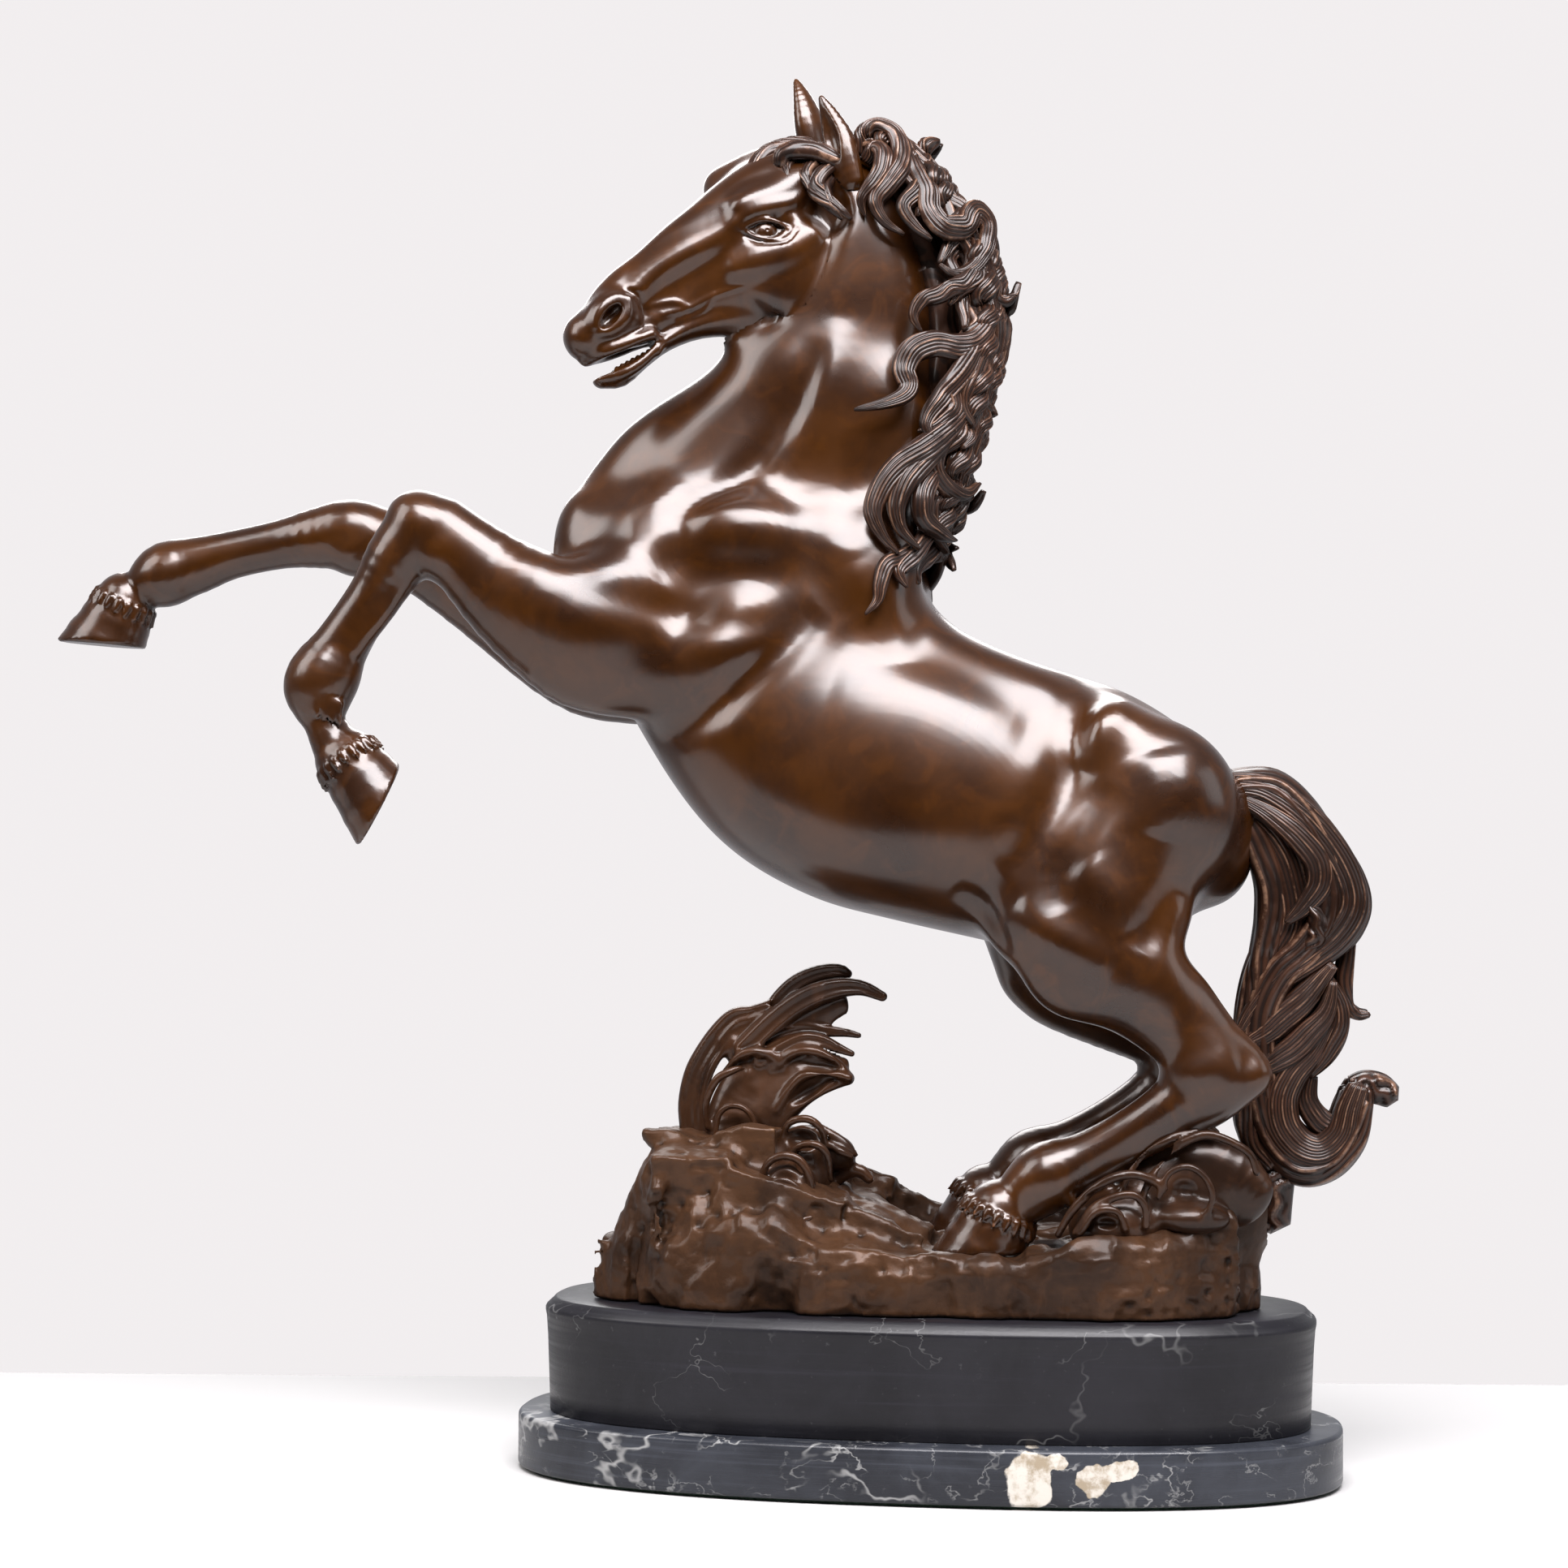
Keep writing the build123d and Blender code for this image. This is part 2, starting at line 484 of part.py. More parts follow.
save(biggest(cut(tail_solid, tail_pin)), "tail")
save(Compound(children=foreleg_pins), "foreleg_pins")
save(Compound(children=hind_pins), "hind_leg_pins")
save(Compound(children=hoof_studs), "hoof_studs")
save(tail_pin, "tail_pin")
save(Compound(children=neck_pins), "neck_pins")
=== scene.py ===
import math

import bpy
import numpy as np
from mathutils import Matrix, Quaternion, Vector


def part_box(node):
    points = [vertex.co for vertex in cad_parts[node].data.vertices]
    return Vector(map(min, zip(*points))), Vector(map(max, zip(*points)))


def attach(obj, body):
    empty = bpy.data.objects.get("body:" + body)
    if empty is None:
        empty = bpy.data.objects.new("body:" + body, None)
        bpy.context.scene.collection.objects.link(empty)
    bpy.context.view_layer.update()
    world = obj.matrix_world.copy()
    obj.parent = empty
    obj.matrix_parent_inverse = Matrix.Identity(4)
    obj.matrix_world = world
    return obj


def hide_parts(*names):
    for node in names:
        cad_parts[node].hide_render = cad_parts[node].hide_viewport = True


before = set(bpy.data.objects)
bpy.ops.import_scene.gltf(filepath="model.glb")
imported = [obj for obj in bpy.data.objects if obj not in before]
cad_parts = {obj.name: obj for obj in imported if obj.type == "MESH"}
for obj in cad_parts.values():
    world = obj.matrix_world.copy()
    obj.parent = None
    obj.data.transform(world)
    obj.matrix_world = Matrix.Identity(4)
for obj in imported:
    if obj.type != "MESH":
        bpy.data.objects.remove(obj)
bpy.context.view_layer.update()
MM = 0.001
FAR = 40.0                      # field value away from any shape, mm
LEFT = -1.0                     # the horse's left is -Y
RIGHT = 1.0
BODY_STEP = 1.15
HEAD_STEP = 0.6
ROCK_STEP = 1.0
WAVE_STEP = 0.7
MELT_AREA = 44                  # how far the body's muscles melt together, square mm
MELT_EDGE = 16.0                # width of the border where the melting fades, mm
NOISE_CELLS = 32
NOISE = np.random.default_rng(5).random((NOISE_CELLS,) * 3).astype(np.float32)
CORNERS = [(a, b, c) for a in (0, 1) for b in (0, 1) for c in (0, 1)]


# ------------------------------------------------------------ small maths
def vec(*parts):
    return np.array(parts, float)


def unit(v):
    return v / np.linalg.norm(v)


def unit_rows(rows):
    return rows / (np.linalg.norm(rows, axis=1)[:, None] + 1e-9)


def offset(place, spot):
    """The x, y and z grids measured from a spot."""
    return [p - s for p, s in zip(place, spot)]


def part_along(apart, axis):
    return apart[0] * axis[0] + apart[1] * axis[1] + apart[2] * axis[2]


def value_at(grid, index):
    return grid[index[..., 0], index[..., 1], index[..., 2]]


def mix_corners(cell, share, read):
    """The mean of read(corner) over each cell's eight corners, weighted by share."""
    total = 0.0
    for corner in CORNERS:
        x, y, z = (share[..., k] if corner[k] else 1 - share[..., k] for k in range(3))
        total = total + read(cell + corner) * x * y * z
    return total


def smooth_rows(rows, per_span):
    """Catmull-Rom curve through rows of any width."""
    rows = np.array(rows, float)
    padded = np.vstack([2 * rows[0] - rows[1], rows, 2 * rows[-1] - rows[-2]])
    out = []
    for i in range(1, len(padded) - 2):
        p0, p1, p2, p3 = padded[i - 1:i + 3]
        for j in range(per_span):
            t = j / per_span
            out.append(0.5 * (2 * p1 + (p2 - p0) * t + (2 * p0 - 5 * p1 + 4 * p2 - p3) * t * t
                              + (3 * p1 - p0 - 3 * p2 + p3) * t ** 3))
    out.append(rows[-1])
    return np.array(out)


def noise(points, size, seed=0.0):
    """Smooth value noise, 0 to 1, with features about size mm across."""
    place = points / size + seed * 7.31
    cell = np.floor(place).astype(int)
    share = place - cell
    share = share * share * (3 - 2 * share)
    return mix_corners(cell, share, lambda corner: value_at(NOISE, corner % NOISE_CELLS))


def smin(a, b, k):
    """Smooth minimum: k is the width of the blend in mm."""
    if k <= 0:
        return np.minimum(a, b)
    h = np.maximum(k - np.abs(a - b), 0.0) / k
    return np.minimum(a, b) - h * h * k * 0.25


def round_dist(parts, radii):
    """Distance to an ellipsoid, from the offsets along its axes and its radii."""
    level = np.sqrt(sum((q / r) ** 2 for q, r in zip(parts, radii)))
    fall = np.sqrt(sum((q / r ** 2) ** 2 for q, r in zip(parts, radii)) + 1e-9)
    return level * (level - 1.0) / fall


def section_dist(up, side, over, deep, wide, power):
    """Distance to a squared-off section; over is how far past the last one a place is."""
    pairs = [(up, deep), (side, wide), (over, np.minimum(deep, wide))]
    level = sum(np.abs(q / r) ** power for q, r in pairs) ** (1 / power)
    near = np.sqrt(sum((q / r) ** 2 for q, r in pairs))
    fall = np.sqrt(sum((q / r ** 2) ** 2 for q, r in pairs))
    return (level - 1.0) * near / (fall + 1e-6)


# ------------------------------------------------------------ field shapes
class Ball:
    """An ellipsoid; axes are the rows of a rotation matrix."""

    def __init__(self, centre, radii, axes=None):
        self.centre = vec(*centre)
        self.radii = vec(*radii)
        self.axes = np.eye(3) if axes is None else np.array(axes)
        reach = np.sqrt(((self.axes * self.radii[:, None]) ** 2).sum(0))
        self.low = self.centre - reach
        self.high = self.centre + reach

    def dist(self, *place):
        apart = offset(place, self.centre)
        return round_dist([part_along(apart, axis) for axis in self.axes], self.radii)


class Block:
    """A box turned by the rows of a rotation matrix."""

    def __init__(self, centre, half, axes):
        self.centre = vec(*centre)
        self.half = vec(*half)
        self.axes = np.array(axes)
        reach = (np.abs(self.axes) * self.half[:, None]).sum(0)
        self.low = self.centre - reach
        self.high = self.centre + reach

    def dist(self, *place):
        apart = offset(place, self.centre)
        over = [np.abs(part_along(apart, axis)) - h for axis, h in zip(self.axes, self.half)]
        outside = np.sqrt(sum(np.maximum(o, 0) ** 2 for o in over))
        return outside + np.minimum(np.maximum(np.maximum(over[0], over[1]), over[2]), 0)


class Span:
    """A straight run between two elliptical sections, with rounded ends."""

    def __init__(self, a, b, lateral):
        self.start = a[:3]
        self.way = b[:3] - a[:3]
        self.long = max(float(self.way @ self.way), 1e-9)
        along = unit(self.way)
        across = unit(lateral - along * (lateral @ along))
        self.axes = (np.cross(along, across), across, along)
        self.deep = (a[3], b[3])
        self.wide = (a[4], b[4])
        reach = max(self.deep + self.wide)
        self.low = np.minimum(a[:3], b[:3]) - reach
        self.high = np.maximum(a[:3], b[:3]) + reach

    def dist(self, *place):
        apart = offset(place, self.start)
        share = np.clip(part_along(apart, self.way) / self.long, 0, 1)
        apart = [q - way * share for q, way in zip(apart, self.way)]
        deep, wide = (a + (b - a) * share for a, b in (self.deep, self.wide))
        radii = (deep, wide, np.minimum(deep, wide))
        return round_dist([part_along(apart, axis) for axis in self.axes], radii)


class Loft:
    """A skin through tilted sections that fan along a body.

    A station is (x, y, z, half_deep, half_wide, angle, egg): the angle of the
    section's upper side above +X in degrees, and egg above 0 for a section
    that is wider below than above.
    """

    def __init__(self, stations, power):
        rows = smooth_rows(stations, 4)
        self.rows = rows
        self.power = power
        reach = np.maximum(rows[:, 3], rows[:, 4])[:, None]
        self.low = (rows[:, :3] - reach).min(0)
        self.high = (rows[:, :3] + reach).max(0)

    def station_of(self, x, y, z):
        """Each place's station as a fractional row number, and how far past an end it is."""
        rows = self.rows
        where = np.zeros(x.shape, np.float32)
        done = np.zeros(x.shape, bool)
        rise = np.radians(rows[:, 5])
        up = np.stack([np.cos(rise), 0 * rise, np.sin(rise)], 1)
        along = np.cross(up, vec(0, 1, 0))
        if along[0] @ (rows[1, :3] - rows[0, :3]) < 0:
            along = -along
        before = None
        for i, row in enumerate(rows):
            ahead = part_along(offset((x, y, z), row), along[i])
            if i == 0:
                short = np.minimum(ahead, 0)
                done |= ahead < 0
            else:
                here = (ahead < 0) & ~done
                share = before / np.maximum(before - ahead, 1e-6)
                where = np.where(here, i - 1 + share, where)
                done |= here
            before = ahead
        where = np.where(done, where, len(rows) - 1)
        return where, np.where(done, short, np.maximum(before, 0))

    def dist(self, *place):
        x, y, z = (p.astype(np.float32) for p in np.broadcast_arrays(*place))
        where, over = self.station_of(x, y, z)
        rows = self.rows
        index = np.clip(where.astype(int), 0, len(rows) - 2)
        share = where - index
        cx, cy, cz, deep, wide, angle, egg = (
            rows[index, k] * (1 - share) + rows[index + 1, k] * share for k in range(7))
        angle = np.radians(angle)
        up = (x - cx) * np.cos(angle) + (z - cz) * np.sin(angle)
        wide = wide * (1 - egg * np.clip(up / deep, -1, 1))
        return section_dist(up, y - cy, over, deep, wide, self.power)


def chain(rows, per_span=3, lateral=(0, 1, 0)):
    """Spans along a smooth path: rows of (x, y, z, half_deep, half_wide)."""
    rows = smooth_rows(rows, per_span)
    return [Span(a, b, vec(*lateral)) for a, b in zip(rows[:-1], rows[1:])]


def line(points, radius, taper):
    """A round path of even or swelling thickness, thin at both ends."""
    last = len(points) - 1
    sizes = [radius * (taper + (1 - taper) * math.sin(math.pi * i / last)) for i in range(last + 1)]
    return chain([(*p, size, size) for p, size in zip(points, sizes)])


class Field:
    """A signed distance field on a regular grid, filled shape by shape."""

    def __init__(self, low, high, step):
        self.low = vec(*low)
        self.step = step
        self.shape = tuple(np.ceil((vec(*high) - self.low) / step).astype(int) + 1)
        self.value = np.full(self.shape, FAR, np.float32)
        self.near = np.full(self.shape, FAR, np.float32)
        self.label = np.zeros(self.shape, np.uint8)

    def window(self, low, high):
        """Slices of the grid that hold a box; empty where the box is off the grid."""
        first = np.maximum(np.floor((low - self.low) / self.step).astype(int), 0)
        last = np.minimum(np.ceil((high - self.low) / self.step).astype(int) + 1, self.shape)
        return tuple(slice(a, b) for a, b in zip(first, np.maximum(first, last)))

    def grids(self, where):
        """Open x, y and z grids over slices of the field, in mm."""
        lines = [low + self.step * np.arange(w.start, w.stop) for low, w in zip(self.low, where)]
        return [g.astype(np.float32) for g in np.meshgrid(*lines, indexing="ij", sparse=True)]

    def local(self, shapes, pad):
        """The shapes' own field in a window round them."""
        shapes = shapes if isinstance(shapes, list) else [shapes]
        where = self.window(np.min([s.low for s in shapes], 0) - pad,
                            np.max([s.high for s in shapes], 0) + pad)
        block = np.full([w.stop - w.start for w in where], FAR, np.float32)
        for s in shapes:
            mine = self.window(s.low - pad, s.high + pad)
            cut = tuple(slice(m.start - w.start, m.stop - w.start) for m, w in zip(mine, where))
            block[cut] = np.minimum(block[cut], s.dist(*self.grids(mine)).astype(np.float32))
        return where, block

    def join(self, where, block, blend, label=None):
        """Adds a block of field and marks the places where its label is the nearest."""
        if label is not None:
            closer = block < self.near[where]
            self.label[where][closer] = label
            self.near[where] = np.minimum(self.near[where], block)
        self.value[where] = smin(self.value[where], block, blend)

    def add(self, shapes, blend=4.0, label=None):
        where, block = self.local(shapes, blend + 3 * self.step)
        self.join(where, block, blend, label)

    def carve(self, shapes, blend=3.0):
        where, block = self.local(shapes, blend + 3 * self.step)
        self.value[where] = -smin(-self.value[where], block, blend)

    def press(self, rows):
        """Pushes the skin in along a line on it, or out where the depth is below 0.

        rows are (x, y, z, width, depth) in mm.
        """
        reach = 2.3 * rows[:, 3].max()
        where = self.window(rows[:, :3].min(0) - reach, rows[:, :3].max(0) + reach)
        place = self.grids(where)
        best = np.full(self.value[where].shape, 99.0)
        push = np.zeros(best.shape)
        for a, b in zip(rows[:-1], rows[1:]):
            way = b[:3] - a[:3]
            apart = offset(place, a)
            share = np.clip(part_along(apart, way) / max(way @ way, 1e-9), 0, 1)
            gap = sum((q - w * share) ** 2 for q, w in zip(apart, way))
            gap = gap / (a[3] + (b[3] - a[3]) * share) ** 2
            closer = gap < best
            best = np.where(closer, gap, best)
            push = np.where(closer, a[4] + (b[4] - a[4]) * share, push)
        self.value[where] += (push * np.exp(-best)).astype(np.float32)

    def soften(self, low, high, turns):
        """Blurs the field inside a box, melting neighbouring muscles together."""
        where = self.window(vec(*low), vec(*high))
        old = np.clip(self.value[where], -12, 12)
        block = old
        for _ in range(turns):
            for k in range(3):
                rows = np.moveaxis(block, k, 0)
                soft = rows.copy(order="K")
                soft[1:-1] = (rows[:-2] + rows[2:] + 2 * rows[1:-1]) / 4
                block = np.moveaxis(soft, 0, k)
        spots = [np.arange(n) for n in block.shape]
        ramps = [np.clip(np.minimum(s, s[::-1]) * self.step / MELT_EDGE, 0, 1) for s in spots]
        x, y, z = np.meshgrid(*ramps, indexing="ij", sparse=True)
        self.value[where] = old + (block - old) * (x * y * z).astype(np.float32)

    def sample(self, points):
        """Trilinear value at points in mm."""
        place = (points - self.low) / self.step
        place = np.clip(place, 0, np.array(self.shape) - 1.001)
        cell = place.astype(int)
        return mix_corners(cell, place - cell, lambda corner: value_at(self.value, corner))

    def slope(self, points):
        """Unit gradient at points in mm."""
        out = []
        for shift in np.eye(3) * self.step * 0.7:
            out.append(self.sample(points + shift) - self.sample(points - shift))
        return unit_rows(np.stack(out, 1))

    def net_points(self, cells):
        """One point in each cell, at the mean of where its edges cross the skin."""
        total = np.zeros((len(cells), 3))
        hits = np.zeros(len(cells))
        for start in CORNERS:
            for k in range(3):
                if start[k]:
                    continue
                way = np.eye(3, dtype=int)[k]
                va = value_at(self.value, cells + start)
                vb = value_at(self.value, cells + start + way)
                cross = (va < 0) != (vb < 0)
                share = np.where(cross, va / np.where(cross, va - vb, 1), 0)
                total += np.where(cross[:, None], np.array(start) + share[:, None] * way, 0)
                hits += cross
        return self.low + self.step * (cells + total / hits[:, None])

    def mesh(self):
        """Surface nets: (points in mm, quads as corner indices)."""
        inside = self.value < 0
        nx, ny, nz = (n - 1 for n in self.shape)
        count = sum(inside[a:nx + a, b:ny + b, c:nz + c].astype(np.uint8) for a, b, c in CORNERS)
        cells = np.argwhere((count > 0) & (count < 8))
        points = self.net_points(cells)
        index = np.full(count.shape, -1, np.int32)
        index[tuple(cells.T)] = np.arange(len(cells))
        quads = []
        for k in range(3):
            sides = [(k + 1) % 3, (k + 2) % 3]
            rows = np.moveaxis(inside, k, 0)
            edges = np.argwhere(np.moveaxis(rows[1:] != rows[:-1], 0, k))
            last = np.array(self.shape)[sides] - 1
            edges = edges[((edges[:, sides] > 0) & (edges[:, sides] < last)).all(1)]
            u, v = np.eye(3, dtype=int)[sides]
            ring = np.stack([value_at(index, edges - back) for back in (0 * u, u, u + v, v)], 1)
            outward = value_at(inside, edges)
            ring[~outward] = ring[~outward][:, ::-1]
            quads.append(ring)
        for _ in range(3):
            value = self.sample(points)
            points = points - self.slope(points) * np.clip(value, -1, 1)[:, None] * 0.9
        return points, np.concatenate(quads)


# ------------------------------------------------------------ meshes
def corner_normals(points, quads):
    """Area-weighted normals at the points."""
    a, b, c, d = (points[quads[:, i]] for i in range(4))
    face = np.cross(c - a, d - b)
    out = np.zeros_like(points)
    for i in range(4):
        for k in range(3):
            out[:, k] += np.bincount(quads[:, i], face[:, k], len(points))
    return unit_rows(out)


def edge_pairs(quads):
    return np.concatenate([quads[:, [i, (i + 1) % 4]] for i in range(4)])


def relax(points, quads, turns):
    """Laplacian smoothing along quad edges."""
    pairs = edge_pairs(quads)
    pairs = np.concatenate([pairs, pairs[:, ::-1]])
    count = np.bincount(pairs[:, 0], minlength=len(points))[:, None]
    for _ in range(turns):
        mean = np.stack([np.bincount(pairs[:, 0], points[pairs[:, 1], k], len(points))
                         for k in range(3)], 1) / np.maximum(count, 1)
        points = points + (mean - points) * 0.5
    return points


def tone_of(points, quads, normals, span, turns):
    """How far each point stands out of its surroundings: 0.5 is level, 1 a ridge."""
    rise = ((points - relax(points, quads, turns)) * normals).sum(1) / span
    return np.clip(0.5 + rise * 0.5, 0, 1)


def set_tone(obj, values):
    """Stores the tone of the points; points past the list are level."""
    layer = obj.data.attributes.new("tone", "FLOAT", "POINT")
    full = np.full(len(obj.data.vertices), 0.5, np.float32)
    full[:len(values)] = values
    layer.data.foreach_set("value", full)


def mesh_object(name, points, polys, normals=None):
    """A smooth mesh object from points in mm, put into the scene."""
    mesh = bpy.data.meshes.new(name)
    mesh.from_pydata((np.asarray(points) * MM).tolist(), [], polys)
    mesh.polygons.foreach_set("use_smooth", np.ones(len(polys), bool))
    mesh.update()
    if normals is not None:
        mesh.normals_split_custom_set_from_vertices([tuple(n) for n in normals])
    obj = bpy.data.objects.new(name, mesh)
    bpy.context.scene.collection.objects.link(obj)
    return obj


def tube_quads(rings, around):
    """Quads between neighbouring rings of points."""
    ring = np.arange(around)
    after = (ring + 1) % around
    quad = np.stack([ring, after, around + after, around + ring], 1)
    return np.concatenate([quad + i * around for i in range(rings - 1)])


def loops_of(edges):
    """Boundary edges (a, b) chained into closed loops."""
    follow = {}
    for a, b in edges:
        follow.setdefault(int(a), []).append(int(b))
    loops = []
    while follow:
        first = next(iter(follow))
        loop = [first]
        here = first
        while True:
            ways = follow.get(here)
            if not ways:
                break
            after = ways.pop()
            if not ways:
                del follow[here]
            if after == first:
                break
            loop.append(after)
            here = after
        if len(loop) > 2:
            loops.append(loop)
    return loops


def caps_of(faces, points, normals):
    """Fans that close the open rims, with their sunken centre points and normals."""
    pairs = edge_pairs(faces).astype(np.int64)
    code = pairs[:, 0] * len(points) + pairs[:, 1]
    back = pairs[:, 1] * len(points) + pairs[:, 0]
    fans = []
    centres = []
    ways = []
    for loop in loops_of(pairs[~np.isin(code, back)]):
        way = normals[loop].mean(0)
        spot = len(points) + len(centres)
        centres.append(points[loop].mean(0) - way * 2.0)
        ways.append(unit(way + vec(0, 0, 1e-3)))
        fans += [(b, a, spot) for a, b in zip(loop, loop[1:] + loop[:1])]
    return fans, centres, ways


def mount_castings(field, names, span):
    """Cuts a field's skin by label into closed castings, one for each node."""
    points, quads = field.mesh()
    normals = corner_normals(points, quads)
    tone = tone_of(points, quads, normals, span, 9)
    cell = np.round((points[quads].mean(1) - field.low) / field.step).astype(int)
    labels = value_at(field.label, np.clip(cell, 0, np.array(field.shape) - 1))
    for label, node in names.items():
        mine = quads[labels == label]
        used, packed = np.unique(mine, return_inverse=True)
        faces = packed.reshape(mine.shape)
        fans, centres, ways = caps_of(faces, points[used], normals[used])
        obj = mesh_object(node + "_skin", np.vstack([points[used], *centres]),
                          faces.tolist() + fans, np.vstack([normals[used], *ways]))
        set_tone(obj, tone[used])
        mount(obj, BODY_BRONZE, "body_bronze", node)


def mount_casting(field, name, material, slot, node, span):
    """Mounts a field's whole skin as one casting."""
    points, quads = field.mesh()
    normals = corner_normals(points, quads)
    obj = mesh_object(name, points, quads.tolist(), normals)
    set_tone(obj, tone_of(points, quads, normals, span, 6))
    mount(obj, material, slot, node)


# ------------------------------------------------------------ the horse's body
# labels in the fields for the castings that share a skin
(TRUNK, CREST, FACE, NEAR_EAR, FAR_EAR, NEAR_FORE, FAR_FORE, NEAR_HIND, FAR_HIND) = range(1, 10)
BODY_PARTS = {TRUNK: "torso", CREST: "neck", NEAR_FORE: "foreleg_left", FAR_FORE: "foreleg_right",
              NEAR_HIND: "hind_leg_left", FAR_HIND: "hind_leg_right"}
HEAD_PARTS = {FACE: "head", NEAR_EAR: "ear_left", FAR_EAR: "ear_right"}
TORSO = [(-72, 0, 332, 65, 32, 0, 0.0), (-57, 0, 298, 59, 39, 20, 0.1),
         (-36, 0, 270, 58.5, 44, 42, 0.18), (-13, 0, 255.5, 56, 46, 56, 0.24),
         (9, 0, 248.5, 53.5, 46, 62, 0.27), (29, 0, 243.5, 52.5, 43.5, 64, 0.24),
         (49, 0, 238, 51.5, 41, 63, 0.16), (69, 0, 229, 48, 39, 60, 0.06),
         (88, 0, 222, 38, 33, 66, 0.0), (98, 0, 226, 21, 20, 84, 0.0)]
NECK = [(-72, 0, 332, 65, 32, 0, 0.0), (-70, 0, 346, 62, 30, -2, 0.05),
        (-64, 0, 363, 58, 26, -3, 0.05), (-50, -1, 388, 50, 22.5, 1, 0.05),
        (-38, -2, 409, 40, 21, 10, 0.0), (-31, -3, 430, 31, 20, 27, 0.0),
        (-29, -3, 449, 25, 19, 50, 0.0), (-32, -3, 464, 18, 17, 70, 0.0)]


def muscle(field, centre, radii, tilt, toe, blend, label):
    """An ellipsoid muscle: tilt turns it in the side view, toe in the plan."""
    field.add(Ball(centre, radii, turned(tilt, toe)), blend, label)


def turned(tilt=0.0, toe=0.0, roll=0.0):
    """Local axes: tilt about Y lifts the +X end, toe about Z, roll about X."""
    a, b, c = (math.radians(v) for v in (tilt, toe, roll))
    about_y = np.array([[math.cos(a), 0, math.sin(a)], [0, 1, 0], [-math.sin(a), 0, math.cos(a)]])
    about_z = np.array([[math.cos(b), math.sin(b), 0], [-math.sin(b), math.cos(b), 0], [0, 0, 1]])
    about_x = np.array([[1, 0, 0], [0, math.cos(c), math.sin(c)], [0, -math.sin(c), math.cos(c)]])
    return about_x @ about_z @ about_y


def surface_y(field, x, z, side):
    """Where the skin is when looking in from the side at (x, z)."""
    depths = np.arange(58.0, 0.0, -0.5)
    points = np.stack([np.full(len(depths), x), side * depths, np.full(len(depths), z)], 1)
    inside = np.argwhere(field.sample(points) < 0)
    return side * depths[int(inside[0, 0])] if len(inside) else 0.0


def skin_rows(field, points, width, depth, side):
    """Rows on the skin through (x, z) spots; depth fades to nothing at both ends."""
    spots = smooth_rows(points, 4)
    fade = np.sin(math.pi * np.linspace(0, 1, len(spots))) ** 0.7
    return np.array([(x, surface_y(field, x, z, side), z, width, depth * f)
                     for (x, z), f in zip(spots, fade)])


def crease(field, points, depth, width=5.0, side=LEFT):
    """A soft groove in the skin through (x, z) spots."""
    field.press(skin_rows(field, points, width, depth, side))


def swell(field, points, rise, width=5.0, side=LEFT):
    """A soft raised line on the skin through (x, z) spots."""
    field.press(skin_rows(field, points, width, -rise, side))


def add_neck(field):
    field.add(Loft(NECK, 2.1), 5.0, CREST)
    for y in (LEFT, RIGHT):
        muscle(field, (-40, 13 * y, 398), (15, 10, 36), 68, 0, 10, CREST)
        muscle(field, (-20, 15 * y, 372), (22, 9, 34), 8, 0, 12, CREST)
    # windpipe down the front of the neck
    field.add(chain([(-50, -3, 418, 9, 9), (-78, -2, 396, 9, 9), (-108, -1, 376, 10, 11),
                     (-126, 0, 352, 9, 12)]), 9.0, CREST)


def add_trunk(field):
    field.add(Loft(TORSO, 2.15), 0.0, TRUNK)
    add_neck(field)
    for y in (LEFT, RIGHT):
        # point of the shoulder, shoulder ridge, chest and withers
        muscle(field, (-98, 21 * y, 334), (21, 16, 25), -30, 0, 9, TRUNK)
        muscle(field, (-64, 29 * y, 341), (24, 10, 12), -6, 0, 9, TRUNK)
        muscle(field, (-122, 13 * y, 332), (16, 14, 26), 10, 0, 9, TRUNK)
        muscle(field, (-24, 20 * y, 326), (22, 15, 26), 0, 0, 12, TRUNK)
        # upper arm over the elbow
        muscle(field, (-73, 31 * y, 299), (27, 13, 16), 34, 0, 8, TRUNK)
        muscle(field, (-104, 25 * y, 309), (18, 14, 13), 10, 0, 8, TRUNK)
        # ribs and back
        muscle(field, (4, 27 * y, 254), (46, 18, 28), -30, 0, 14, TRUNK)
        muscle(field, (24, 14 * y, 287), (52, 12, 10), -24, 0, 10, TRUNK)
        # hip, haunch, thigh and buttock
        muscle(field, (65, 25 * y, 265), (12, 14, 16), -35, 0, 9, TRUNK)
        muscle(field, (86, 24 * y, 243), (27, 20, 31), 20, 0, 10, TRUNK)
        muscle(field, (62, 29 * y, 217), (28, 18, 30), 24, 0, 11, TRUNK)
        muscle(field, (42, 30 * y, 203), (21, 15, 18), 34, 0, 9, TRUNK)
        muscle(field, (96, 13 * y, 236), (13, 13, 22), -10, 0, 10, TRUNK)
    muscle(field, (106, 0, 243), (14, 12, 14), 30, 0, 9, TRUNK)


def add_neck_creases(field):
    """The jugular groove and the one under the crest."""
    for side in (LEFT, RIGHT):
        crease(field, [(-40, 412), (-48, 386), (-64, 364), (-86, 350), (-106, 343)], 2.0, 6.0, side)
        swell(field, [(-30, 420), (-34, 398), (-44, 378), (-58, 364)], 1.6, 7.0, side)
        crease(field, [(-16, 392), (-20, 370), (-25, 350), (-28, 334)], 1.6, 7.0, side)


